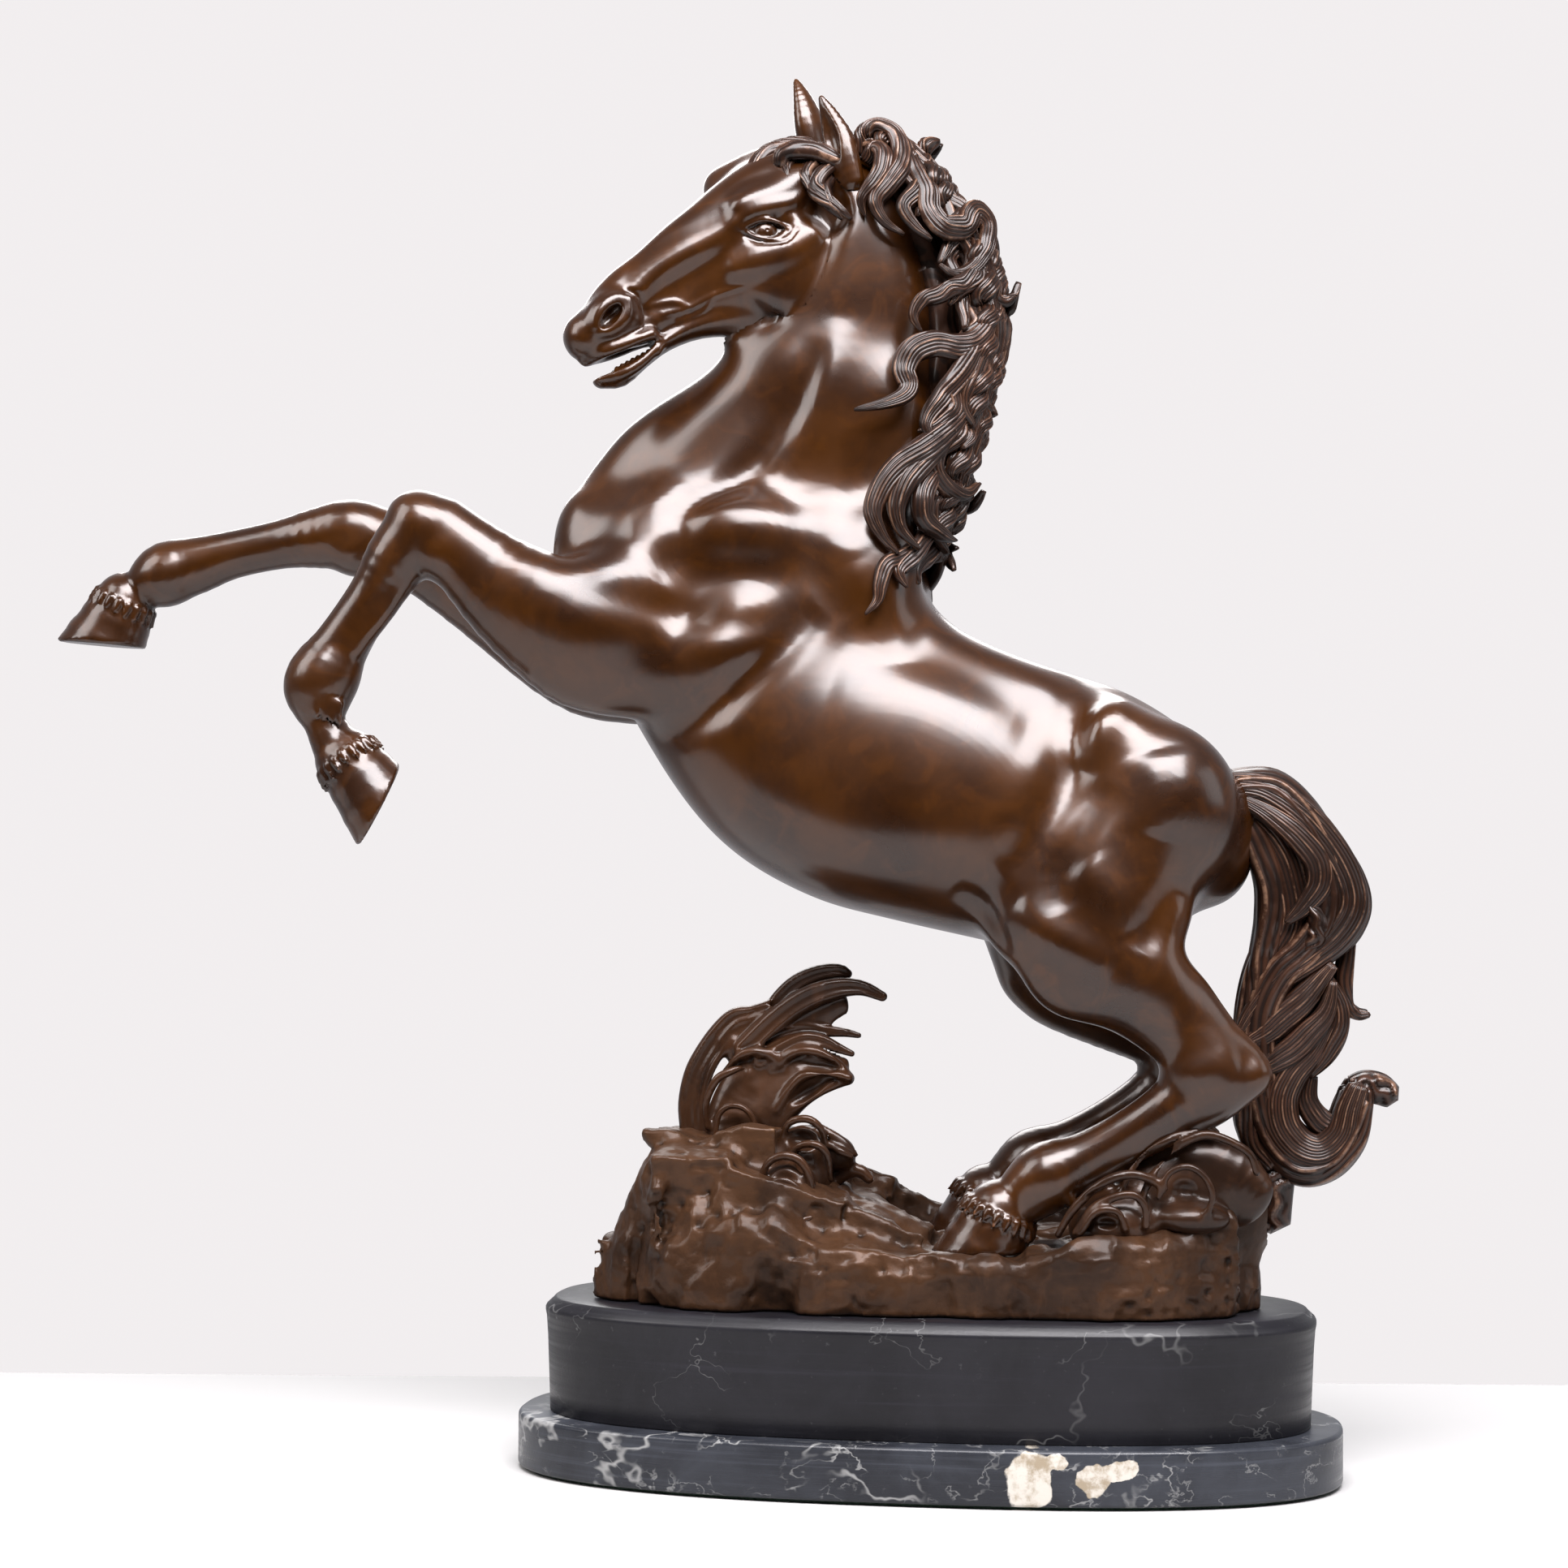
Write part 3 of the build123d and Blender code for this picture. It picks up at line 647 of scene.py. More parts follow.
def add_creases(field):
    for side in (LEFT, RIGHT):
        # under the shoulder, behind the upper arm, between shoulder and chest
        crease(field, [(-130, 320), (-104, 315), (-79, 308), (-56, 307), (-38, 314)], 1.7, 6.5, side)
        crease(field, [(-36, 312), (-52, 296), (-68, 282), (-84, 271), (-100, 265)], 3.0, 6.0, side)
        crease(field, [(-87, 358), (-87, 344), (-90, 331), (-96, 322)], 1.3, 6.5, side)
        crease(field, [(-46, 356), (-42, 338), (-36, 323), (-26, 308)], 1.2, 8.0, side)
        swell(field, [(-24, 330), (-14, 312), (-10, 292)], 1.6, 9.0, side)
        # the barrel's broad round and the edge of the ribs
        swell(field, [(-30, 292), (-8, 286), (16, 279), (38, 270)], 1.6, 16.0, side)
        crease(field, [(54, 292), (55, 272), (52, 252), (43, 233), (30, 218)], 3.4, 7.5, side)
        # flank fold, thigh and gaskin
        crease(field, [(12, 213), (20, 208), (27, 199), (32, 188)], 2.4, 4.5, side)
        crease(field, [(68, 250), (58, 234), (50, 218), (54, 205)], 2.0, 6.5, side)
        crease(field, [(94, 216), (84, 204), (79, 190)], 2.2, 6.0, side)
        swell(field, [(72, 281), (63, 270), (57, 254)], 2.2, 6.5, side)
        swell(field, [(84, 262), (88, 246), (86, 230)], 2.4, 11.0, side)
        swell(field, [(34, 207), (43, 199), (55, 192), (70, 185)], 2.2, 7.0, side)
        swell(field, [(60, 224), (68, 210), (76, 198)], 1.6, 8.0, side)


# ------------------------------------------------------------ legs
HIND_OUT = 31.0                 # how far the hind legs stand from the middle
FORE_LEFT = [(-88, -22, 305, 26, 14), (-104, -27, 302, 29, 15), (-118, -30, 302, 28.5, 15.5),
             (-132, -32, 307, 24.5, 15), (-150, -33, 318, 19.5, 13.5), (-166, -34, 331.5, 15, 12),
             (-177, -34, 340.5, 13.5, 12)]
FORE_LEFT_CANNON = [(-184, -34, 342.5, 13, 12.5), (-193, -34, 331, 12, 11.5),
                    (-200, -34, 320, 10, 9.5), (-207, -34, 310, 9.5, 8.5),
                    (-214, -34, 299, 10.5, 9), (-220, -34, 289, 12.5, 11), (-221.5, -34, 280, 11, 10),
                    (-220, -34, 272, 7.5, 8.5), (-216, -34, 264, 8.5, 9.5)]
FORE_RIGHT = [(-96, 18, 303, 26, 14), (-112, 25, 301, 29, 15), (-128, 28, 303, 28, 15.5),
              (-142, 29, 308, 25.5, 15), (-170, 31, 325, 21.5, 13.5), (-197, 32, 338, 16, 12),
              (-212, 32, 343, 13, 11.5), (-228, 32, 346.5, 13.5, 12.5), (-240, 32, 346, 12, 11.5),
              (-256, 32, 343.5, 9.5, 9), (-276, 32, 339.5, 9.3, 8.6), (-290, 32, 335.5, 11, 9.5),
              (-301, 32, 333, 12, 11), (-308, 32, 329.5, 9.5, 9.5), (-313, 32, 325, 7.5, 8.5),
              (-318, 32, 319, 9, 10)]


def hind_rows(side, dx):
    """Sections of the thigh and of the cannon; the near thigh is the slimmer one."""
    y = side * HIND_OUT
    slim, back = (1.0, 0.0) if side == LEFT else (0.2, -6.0)
    upper = [(67 + back + dx, y * 0.92, 207, 31, 17),
             (62 + 3 * slim + back + dx, y * 0.97, 190 + 3 * slim, 31 - 6.5 * slim, 17.5),
             (70 + 3 * slim + dx, y, 178 + 3.5 * slim, 27 - 7.5 * slim, 16),
             (82 + 2 * slim + dx, y, 169 + 2.5 * slim, 21.5 - 5 * slim, 14),
             (92 + slim + dx, y, 161 + 1.5 * slim, 16.5 - 2.2 * slim, 12),
             (101 + dx, y, 153, 14.5, 11.5)]
    lower = [(106 + dx, y, 147, 13, 11.5), (97 + dx, y, 140.5, 12.5, 11.5),
             (86 + dx, y, 133, 10, 10), (72 + dx, y, 124.5, 8.8, 8.8),
             (58 + dx, y, 116.5, 9.6, 9.4), (47 + dx, y, 111, 12, 11.2), (39 + dx, y, 105, 11, 10.5),
             (32 + dx, y, 99, 9, 9.6), (27 + dx, y, 94, 10.5, 11.5)]
    return upper, lower


def hoof(field, coronet, sole, top, bottom, label, facing):
    """A flaring hoof from its coronet to a flat sole that looks along facing."""
    start = vec(*coronet)
    way = vec(*sole) - start
    facing = unit(vec(*facing))
    rows = []
    for t in (-0.05, 0.5, 1.0, 1.7):
        deep, wide = (a + (b - a) * t for a, b in zip(top, bottom))
        rows.append(np.array((*(start + way * t), deep, wide)))
    where, block = field.local([Span(p, q, vec(0, 1, 0)) for p, q in zip(rows[:-1], rows[1:])], 8.0)
    beyond = part_along(offset(field.grids(where), sole), facing)
    field.join(where, -smin(-block, -beyond.astype(np.float32), 1.4), 1.0, label)


def tuft(field, spot, way, size, label):
    """A short pointed lock of feather over a hoof or behind a fetlock."""
    root = np.array((*spot, size, size))
    tip = np.array((*(vec(*spot) + vec(*way)), size * 0.35, size * 0.35))
    field.add(Span(root, tip, vec(0, 1, 0.01)), 0.7, label)


def feather(field, centre, axis, radii, reach, count, size, label):
    """A ring of tufts round the coronet."""
    axis = unit(vec(*axis))
    side = unit(vec(0, 1, 0) - axis * axis[1])
    deep = np.cross(axis, side)
    for i in range(count):
        t = 2 * math.pi * (i + 0.5) / count
        out = deep * math.cos(t) * radii[0] + side * math.sin(t) * radii[1]
        tuft(field, vec(*centre) + out * 0.97, axis * reach + out * 0.16, size, label)


def add_legs(field):
    field.add(chain(FORE_LEFT), 7.0, NEAR_FORE)
    field.add(chain(FORE_LEFT_CANNON), 3.5, NEAR_FORE)
    # knee: cap, side bones and the bone behind
    muscle(field, (-184, -34, 345), (12, 11, 10), -30, 0, 4, NEAR_FORE)
    muscle(field, (-176, -34, 333), (10, 11, 9), 40, 0, 4, NEAR_FORE)
    # forearm muscle and the tendon lines along the cannon
    muscle(field, (-130, -38, 312), (28, 10, 14), -28, 0, 7, NEAR_FORE)
    muscle(field, (-112, -34, 314), (18, 12, 20), -10, 0, 8, NEAR_FORE)
    field.add(line([(-185, -37, 330), (-196, -38, 313), (-207, -38, 298)], 4.0, 0.7), 3.0, NEAR_FORE)
    # fetlock and pastern
    muscle(field, (-221, -34, 287), (14.5, 11.5, 12), 40, 0, 4, NEAR_FORE)
    hoof(field, (-210.5, -34, 257), (-198.2, -34, 242), (11.8, 11.8), (15.2, 14.6), NEAR_FORE,
         (0.84, 0.3, -0.45))
    feather(field, (-211.5, -34, 258.5), (12, 0, -15), (12.0, 12.0), 5.0, 20, 1.6, NEAR_FORE)
    for i in range(7):
        tuft(field, (-228 + i * 2.6, -43 + 0.6 * abs(i - 3), 284 - i), (0.5, -0.5, -8), 2.1, NEAR_FORE)
    field.add(chain(FORE_RIGHT), 7.0, FAR_FORE)
    muscle(field, (-228, 32, 350), (13, 11, 9), 0, 0, 4, FAR_FORE)
    muscle(field, (-226, 32, 340), (10, 11.5, 9), 0, 0, 4, FAR_FORE)
    muscle(field, (-150, 36, 318), (34, 10, 15), -26, 0, 7, FAR_FORE)
    muscle(field, (-303, 32, 331), (12, 11.2, 11), 20, 0, 4, FAR_FORE)
    hoof(field, (-319.5, 32, 320.5), (-327, 32, 304.4), (11.8, 11.8), (16.4, 14.8), FAR_FORE,
         (-0.08, 0, -1))
    feather(field, (-318.8, 32, 321.5), (-7.5, 0, -16), (12.0, 12.0), 5.0, 20, 1.6, FAR_FORE)
    for side, dx, label in ((LEFT, 0.0, NEAR_HIND), (RIGHT, -9.0, FAR_HIND)):
        y = side * HIND_OUT
        upper, lower = hind_rows(side, dx)
        field.add(chain(upper), 8.0, label)
        field.add(chain(lower), 4.0, label)
        # point of hock, its tendon and the cannon's back edge
        field.add(chain([(98 + dx, y, 181, 6, 5), (110 + dx, y, 166, 4.5, 4.5),
                         (118 + dx, y, 151, 5.5, 5.5), (117 + dx, y, 147, 6, 6)]), 5.0, label)
        field.add(chain([(117 + dx, y, 147, 6, 6), (104 + dx, y, 135, 5, 6),
                         (84 + dx, y, 124, 4, 6), (58 + dx, y, 109.5, 4.5, 6.5)]), 4.0, label)
        muscle(field, (98 + dx, y, 149), (12, 12.5, 11), 30, 0, 4, label)
        muscle(field, (56 + dx, side * 38, 186), (22, 9, 22), 30, 0, 8, label)
        muscle(field, (78 + dx, side * 36, 182), (16, 9, 16), -40, 0, 8, label)
        muscle(field, (45 + dx, y, 110), (12, 11.5, 11), 30, 0, 4, label)
        hoof(field, (28.5 + dx, y, 96.5), (22.5 + dx, y, 83.0), (12.6, 12.2), (15.6, 14.6), label,
             (0, 0, -1))
        feather(field, (29 + dx, y, 97.5), (-6, 0, -13), (13.2, 12.8), 4.6, 22, 1.7, label)
        for i in range(5):
            tuft(field, (52 + dx - i, y - 6 + 3 * i, 105), (5, 0, -6), 3.0, label)


# ------------------------------------------------------------ the head
HEAD_AT = vec(-48.0, -4.0, 456.0)
HEAD_FORE = vec(-0.825, -0.266, -0.498)
HEAD_LEFT = vec(0.307, -0.952, 0.0)
HEAD_UP = vec(-0.474, -0.153, 0.867)
HEAD_AXES = np.stack([HEAD_FORE, HEAD_LEFT, HEAD_UP])


def head_spot(a, b, c):
    """Row-frame point from head coordinates: forward, left, up."""
    return HEAD_AT + HEAD_FORE * a + HEAD_LEFT * b + HEAD_UP * c


def head_ball(centre, radii, spin=(0.0, 0.0, 0.0)):
    """Ellipsoid in head coordinates: spin tilts nose-up, toes out, rolls."""
    local = turned(*spin)
    return Ball(head_spot(*centre), radii, local @ HEAD_AXES)


class HeadLoft:
    """Skull skin from (forward, top, bottom, half_wide, squareness, keel) stations."""

    def __init__(self, rows):
        self.rows = smooth_rows(rows, 5)
        ends = [head_spot(a, b, c) for a in (self.rows[0, 0] - 8, self.rows[-1, 0] + 8)
                for b in (-22, 22) for c in (-36, 36)]
        self.low = np.min(ends, 0)
        self.high = np.max(ends, 0)

    def dist(self, *place):
        apart = offset(place, HEAD_AT)
        ahead, side, rise = (part_along(apart, axis) for axis in HEAD_AXES)
        spots = self.rows[:, 0]
        top, bottom, wide, square, keel = (np.interp(ahead, spots, k) for k in self.rows[:, 1:].T)
        deep = (top - bottom) / 2
        up = rise - (top + bottom) / 2
        wide = wide * (1 - keel * np.clip(-up / deep, 0, 1) ** 2)
        over = np.maximum(spots[0] - ahead, 0) + np.maximum(ahead - spots[-1], 0)
        return section_dist(up, side, over, deep, wide, square)


# forward, top, bottom, half width, squareness, keel
SKULL = [(-17, 21, -6, 12, 2.0, 0.2), (-8, 27, -21, 16, 2.1, 0.4), (2, 30.5, -29, 17.5, 2.3, 0.5),
         (12, 30.5, -32, 18, 2.5, 0.5), (22, 29, -31, 17.5, 2.5, 0.5), (33, 26.5, -26, 15.5, 2.5, 0.5),
         (46, 24, -18.5, 12.8, 2.5, 0.4), (60, 20.5, -13.5, 10.6, 2.3, 0.2),
         (72, 18.5, -11, 10, 2.2, 0.1), (82, 15, -8, 10.5, 2.2, 0.0), (91.5, 9, -6, 9, 2.1, 0.0)]


# label, base, tip and the way the hollow looks
EARS = [(NEAR_EAR, (-30.5, -17.5, 475), (-40.0, -17, 501.0), (-0.62, -0.78, 0.05)),
        (FAR_EAR, (-46.0, 6, 488), (-52.6, 6.5, 513.0), (-0.75, 0.5, 0.05))]
# share of the way up, half width, half thickness
EAR_SECTIONS = [(-0.2, 5.2, 4.0), (0.1, 6.2, 5.0), (0.4, 6.4, 4.6), (0.7, 4.3, 3.2),
                (0.9, 2.3, 1.9), (1.0, 1.1, 1.0)]
EAR_HOLLOW = [(0.12, 2.0, 1.8), (0.4, 3.4, 3.0), (0.66, 2.4, 2.4), (0.9, 0.7, 0.8)]


def head_line(points, radius, taper=0.5):
    return line([head_spot(*p) for p in points], radius, taper)


def head_chain(rows):
    """Spans on the head's middle: rows of (forward, up, half_deep, half_wide)."""
    return chain([(*head_spot(a, 0, c), deep, wide) for a, c, deep, wide in rows], 3, HEAD_LEFT)


def add_skull(field):
    """The head's main masses, shared by the body skin so that the two meet."""
    field.add(HeadLoft(SKULL), 6.0, FACE)
    # lower jaw and chin
    field.add(head_chain([(34, -18, 8, 9), (52, -13.5, 5, 8), (66, -12.8, 3.6, 7.6),
                          (77, -14.8, 3.0, 7.4), (87, -15.6, 4.4, 6.8), (93.5, -13.6, 3.8, 5.6)]),
              3.0, FACE)
    for b in (1.0, -1.0):
        field.add(head_ball((11, 12 * b, -12), (20, 7.0, 19)), 5.0, FACE)
        field.add(head_ball((-4, 12 * b, 13), (10, 5.5, 6)), 6.0, FACE)
        field.carve(head_ball((-6, 19.0 * b, 2), (7, 4.0, 9), (0, 0, 0)), 6.0)


def head_depth(field, a, c, side):
    """How far out the head's skin is at (forward, up) on one side."""
    depths = np.arange(30.0, 0.0, -0.4)
    points = np.array([head_spot(a, side * d, c) for d in depths])
    inside = np.argwhere(field.sample(points) < 0)
    return depths[int(inside[0, 0])] if len(inside) else 0.0


def face_rows(field, points, side, sink):
    return [(a, side * (head_depth(field, a, c, side) - sink), c) for a, c in points]


def face_line(field, points, side, radius, rise, blend, taper=0.5):
    """A raised line (rise above 0) or a groove (below 0) on the face."""
    if rise > 0:
        field.add(head_line(face_rows(field, points, side, radius - rise), radius, taper), blend, FACE)
    else:
        field.carve(head_line(face_rows(field, points, side, -radius - rise), radius, taper), blend)


def add_head(field):
    # muzzle tip
    field.add(head_ball((90, 0, 2.5), (8.5, 9, 8.5), (-30, 0, 0)), 4.0, FACE)
    for b in (1.0, -1.0):
        # brow and temple
        field.add(head_ball((12, 14.0 * b, 14.5), (12, 5.0, 5.0), (10, 10 * b, -20 * b)), 5.0, FACE)
        # nostril wing and lips
        field.add(head_ball((80, 8.3 * b, 4), (9.5, 4.5, 7.5), (10, 0, 0)), 4.5, FACE)
        field.add(head_line([(71, 8.4 * b, -8.2), (80, 8.8 * b, -7.6), (89, 7 * b, -6.2),
                             (95, 0, -5)], 2.2, 0.8), 3.0, FACE)
        field.add(head_line([(72, 7.4 * b, -14), (80, 7.4 * b, -16), (88, 6 * b, -16),
                             (93, 0, -13.5)], 1.9, 0.8), 2.5, FACE)
    # the far brow shows over the forehead
    field.add(head_ball((15, -13.0, 27.5), (8, 6, 7.0)), 6.0, FACE)
    field.add(head_line([(16, -12, 27), (6, -7, 27.5), (-4, -2, 26)], 7.0, 0.9), 6.0, FACE)
    # the open mouth
    field.carve(head_chain([(71, -11.2, 0.7, 16), (78, -11.8, 2.2, 16), (88, -11.2, 2.8, 16),
                            (101, -9.6, 2.4, 16)]), 1.0)
    for b in (1.0, -1.0):
        # hollow round the eye and hollows of the face
        field.carve(head_ball((18, 20.6 * b, 4.0), (10, 3.8, 5.2), (22, 8 * b, 0)), 3.5)
        field.carve(head_ball((50, 15.4 * b, 1.0), (20, 5.0, 6.5), (-3, -14 * b, 0)), 5.0)
        field.carve(head_ball((42, 17.0 * b, -9), (12, 4.0, 6), (12, -14 * b, 0)), 5.0)
        # cheekbone ending in a knob forward of the eye
        face_line(field, [(4, -5.5), (14, -6), (24, -4.0), (31, -2.5)], b, 4.0, 1.0, 6.0, 0.8)
        # eyeball, iris and pupil
        field.add(head_ball((17.2, 14.4 * b, 3.9), (4.8, 4.2, 3.8), (25, 0, 0)), 0.4, FACE)
        turns = [2 * math.pi * i / 12 for i in range(13)]
        iris = [(17.0 + 1.7 * math.cos(t), 18.35 * b, 3.9 + 1.6 * math.sin(t)) for t in turns]
        field.carve(head_line(iris, 0.34, 1.0), 0.3)
        field.carve(head_ball((17.0, 18.7 * b, 3.9), (0.7, 0.7, 0.65)), 0.3)
        # lids
        upper = [(24.6, 16.4, 8.6), (21.0, 17.4, 8.8), (16.4, 18.2, 7.9), (12.4, 18.4, 5.0),
                 (9.6, 17.8, 0.6)]
        lower = [(24.6, 16.4, 8.6), (21.2, 17.4, 3.0), (15.6, 18.2, -0.4), (9.6, 17.8, 0.6)]
        for lid, radius in ((upper, 1.0), (lower, 0.8)):
            lid = [(ahead, out * b, rise) for ahead, out, rise in lid]
            field.add(head_line(lid, radius, 0.6), 0.8, FACE)
        # brow ridge running on into the edge of the nasal bone, and the lid fold
        brow = [(26, 11.6), (19, 12.2), (11, 10.6), (3, 8.8), (-4, 10.5)]
        face_line(field, brow, b, 2.4, 1.2, 2.6)
        face_line(field, [(26, 11.6), (36, 11.0), (48, 11.4), (60, 10.8), (68, 8.0)], b, 3.4, 0.6, 5.0)
        face_line(field, [(25, 6.2), (20, 0.2), (13, -3.0), (7, -1.0)], b, 0.6, -0.4, 1.2)
        # nostril opening and the wrinkles behind it
        field.carve(head_ball((82, 13.4 * b, 3.6), (6.0, 5.2, 2.8), (-20, 0, 0)), 1.0)
        face_line(field, [(88, 3.5), (84, 7.4), (77, 9.0), (73, 6.0)], b, 1.2, 0.4, 2.4)
        face_line(field, [(88, 0.5), (83, -1.0), (76, 1.2), (73, 6.0)], b, 1.1, 0.35, 2.4)
        face_line(field, [(71, 9), (68.5, 5), (69, 0), (71, -4)], b, 0.9, -0.25, 2.2)
        # corner of the mouth
        face_line(field, [(75, -8.5), (71, -9.5), (69, -12.5), (72, -15.5)], b, 1.2, 0.35, 2.2)
        # veins across the face
        face_line(field, [(34, -9.5), (44, -7.0), (54, -6.8), (64, -4.0)], b, 0.8, 0.28, 1.4)
        face_line(field, [(44, -7.0), (50, -10.0), (60, -9.0)], b, 0.7, 0.25, 1.4)
        face_line(field, [(54, -6.8), (58, -2.0), (67, 1.0)], b, 0.7, 0.25, 1.4)
    # a row of teeth on each side, inside the mouth
    for i in range(8):
        for b in (-5.0, 5.0):
            a = 73 + 2.2 * i
            field.add(Ball(head_spot(a, b, -14.2), (1.1, 1.1, 2.0)), 0.4, FACE)
    # ears: pricked leaves with a hollow front
    for label, base, tip, face in EARS:
        base = vec(*base)
        tip = vec(*tip)
        face = unit(vec(*face))
        across = np.cross(unit(tip - base), face)
        rows = []
        for share, wide, thick in EAR_SECTIONS:
            bow = -face * 1.2 * math.sin(math.pi * max(share, 0))
            rows.append((*(base + (tip - base) * share + bow), thick, wide))
        field.add(chain(rows, 3, across), 2.0, label)
        scoop = [(*(base + (tip - base) * share + face * 3.6), thick, wide)
                 for share, wide, thick in EAR_HOLLOW]
        field.carve(chain(scoop, 3, across), 1.2)


# ------------------------------------------------------------ hair
def strand(path, width, thick, ridges, facing, root=0.6, tip=0.12, peak=0.35, seed=0.0,
           sway=0.35, rough=0.8):
    """A lock of hair swept along a path, its outer face combed into ridges.

    facing is the way the lock's outer face looks, or a function of the place.
    """
    rows = smooth_rows(path, 7)
    n = len(rows)
    t = np.linspace(0, 1, n)
    first = root + (1 - root) * np.sin(np.minimum(t / peak, 1) * math.pi / 2)
    second = tip + (1 - tip) * np.cos(np.maximum(t - peak, 0) / (1 - peak) * math.pi / 2) ** 0.8
    size = np.where(t < peak, first, second)
    w = width * size
    h = thick * (0.35 + 0.65 * size)
    along = unit_rows(np.gradient(rows, axis=0))
    out = np.array([facing(p) for p in rows]) if callable(facing) else np.tile(facing, (n, 1))
    for _ in range(4):
        out[1:-1] = (out[:-2] + 2 * out[1:-1] + out[2:]) / 4
    side = unit_rows(np.cross(out, along))
    up = np.cross(along, side)
    over = max(12, int((6) * ridges)) + 1
    u = np.concatenate([np.linspace(-1, 1, over), np.linspace(1, -1, 8)[1:-1]])
    outer = np.arange(len(u)) < over
    around = len(u)
    drift = sway * (np.sin(5 * t + seed) + 0.6 * np.sin(13 * t + 2 * seed))
    phase = ridges * (u[None, :] * 0.5 + 0.5) + drift[:, None]
    comb = np.abs(np.cos(math.pi * phase)) ** 0.75
    comb = comb * (0.7 + 0.3 * np.sin(2.1 * np.floor(phase + 0.5) + seed))
    dome = np.sqrt(np.clip(1 - np.abs(u) ** 2.4, 0, 1))[None, :] * h[:, None]
    pitch = 2 * w / max(ridges, 1)
    lift = (comb - 0.55) * pitch[:, None] * 0.55 * (1 - np.abs(u) ** 8)[None, :]
    rise = np.where(outer, dome + lift, -0.55 * dome)
    points = (rows[:, None, :] + side[:, None, :] * (u[None, :, None] * w[:, None, None])
              + up[:, None, :] * rise[:, :, None]).reshape(-1, 3)
    points += (noise(points, 4.0, seed) - 0.5)[:, None] * up.repeat(around, 0) * rough
    # The tone is high on the combed ridges and low in the grooves and on the lock's inner face. The
    # bronze paints the low places dark: patina and painted shade in the grooves, painted shade under
    # the lock.
    tone = np.where(outer, comb, 0.2).reshape(-1)
    root_cap = len(points)
    points = np.vstack([points, rows[0] - along[0] * 0.5, rows[-1] + along[-1] * w[-1] * 0.5])
    ring = np.arange(around)
    after = (ring + 1) % around
    last = (n - 1) * around
    caps = [(b, a, root_cap) for a, b in zip(ring.tolist(), after.tolist())]
    caps += [(last + a, last + b, root_cap + 1) for a, b in zip(ring.tolist(), after.tolist())]
    return points, tube_quads(n, around), caps, np.append(tone, (0.5, 0.5))


def hair_object(name, strands):
    """Several swept locks as one mesh object."""
    polys = []
    base = 0
    for points, quads, caps, _ in strands:
        polys += (quads + base).tolist() + (np.array(caps) + base).tolist()
        base += len(points)
    obj = mesh_object(name, np.vstack([s[0] for s in strands]), polys)
    set_tone(obj, np.concatenate([s[3] for s in strands]))
    return obj


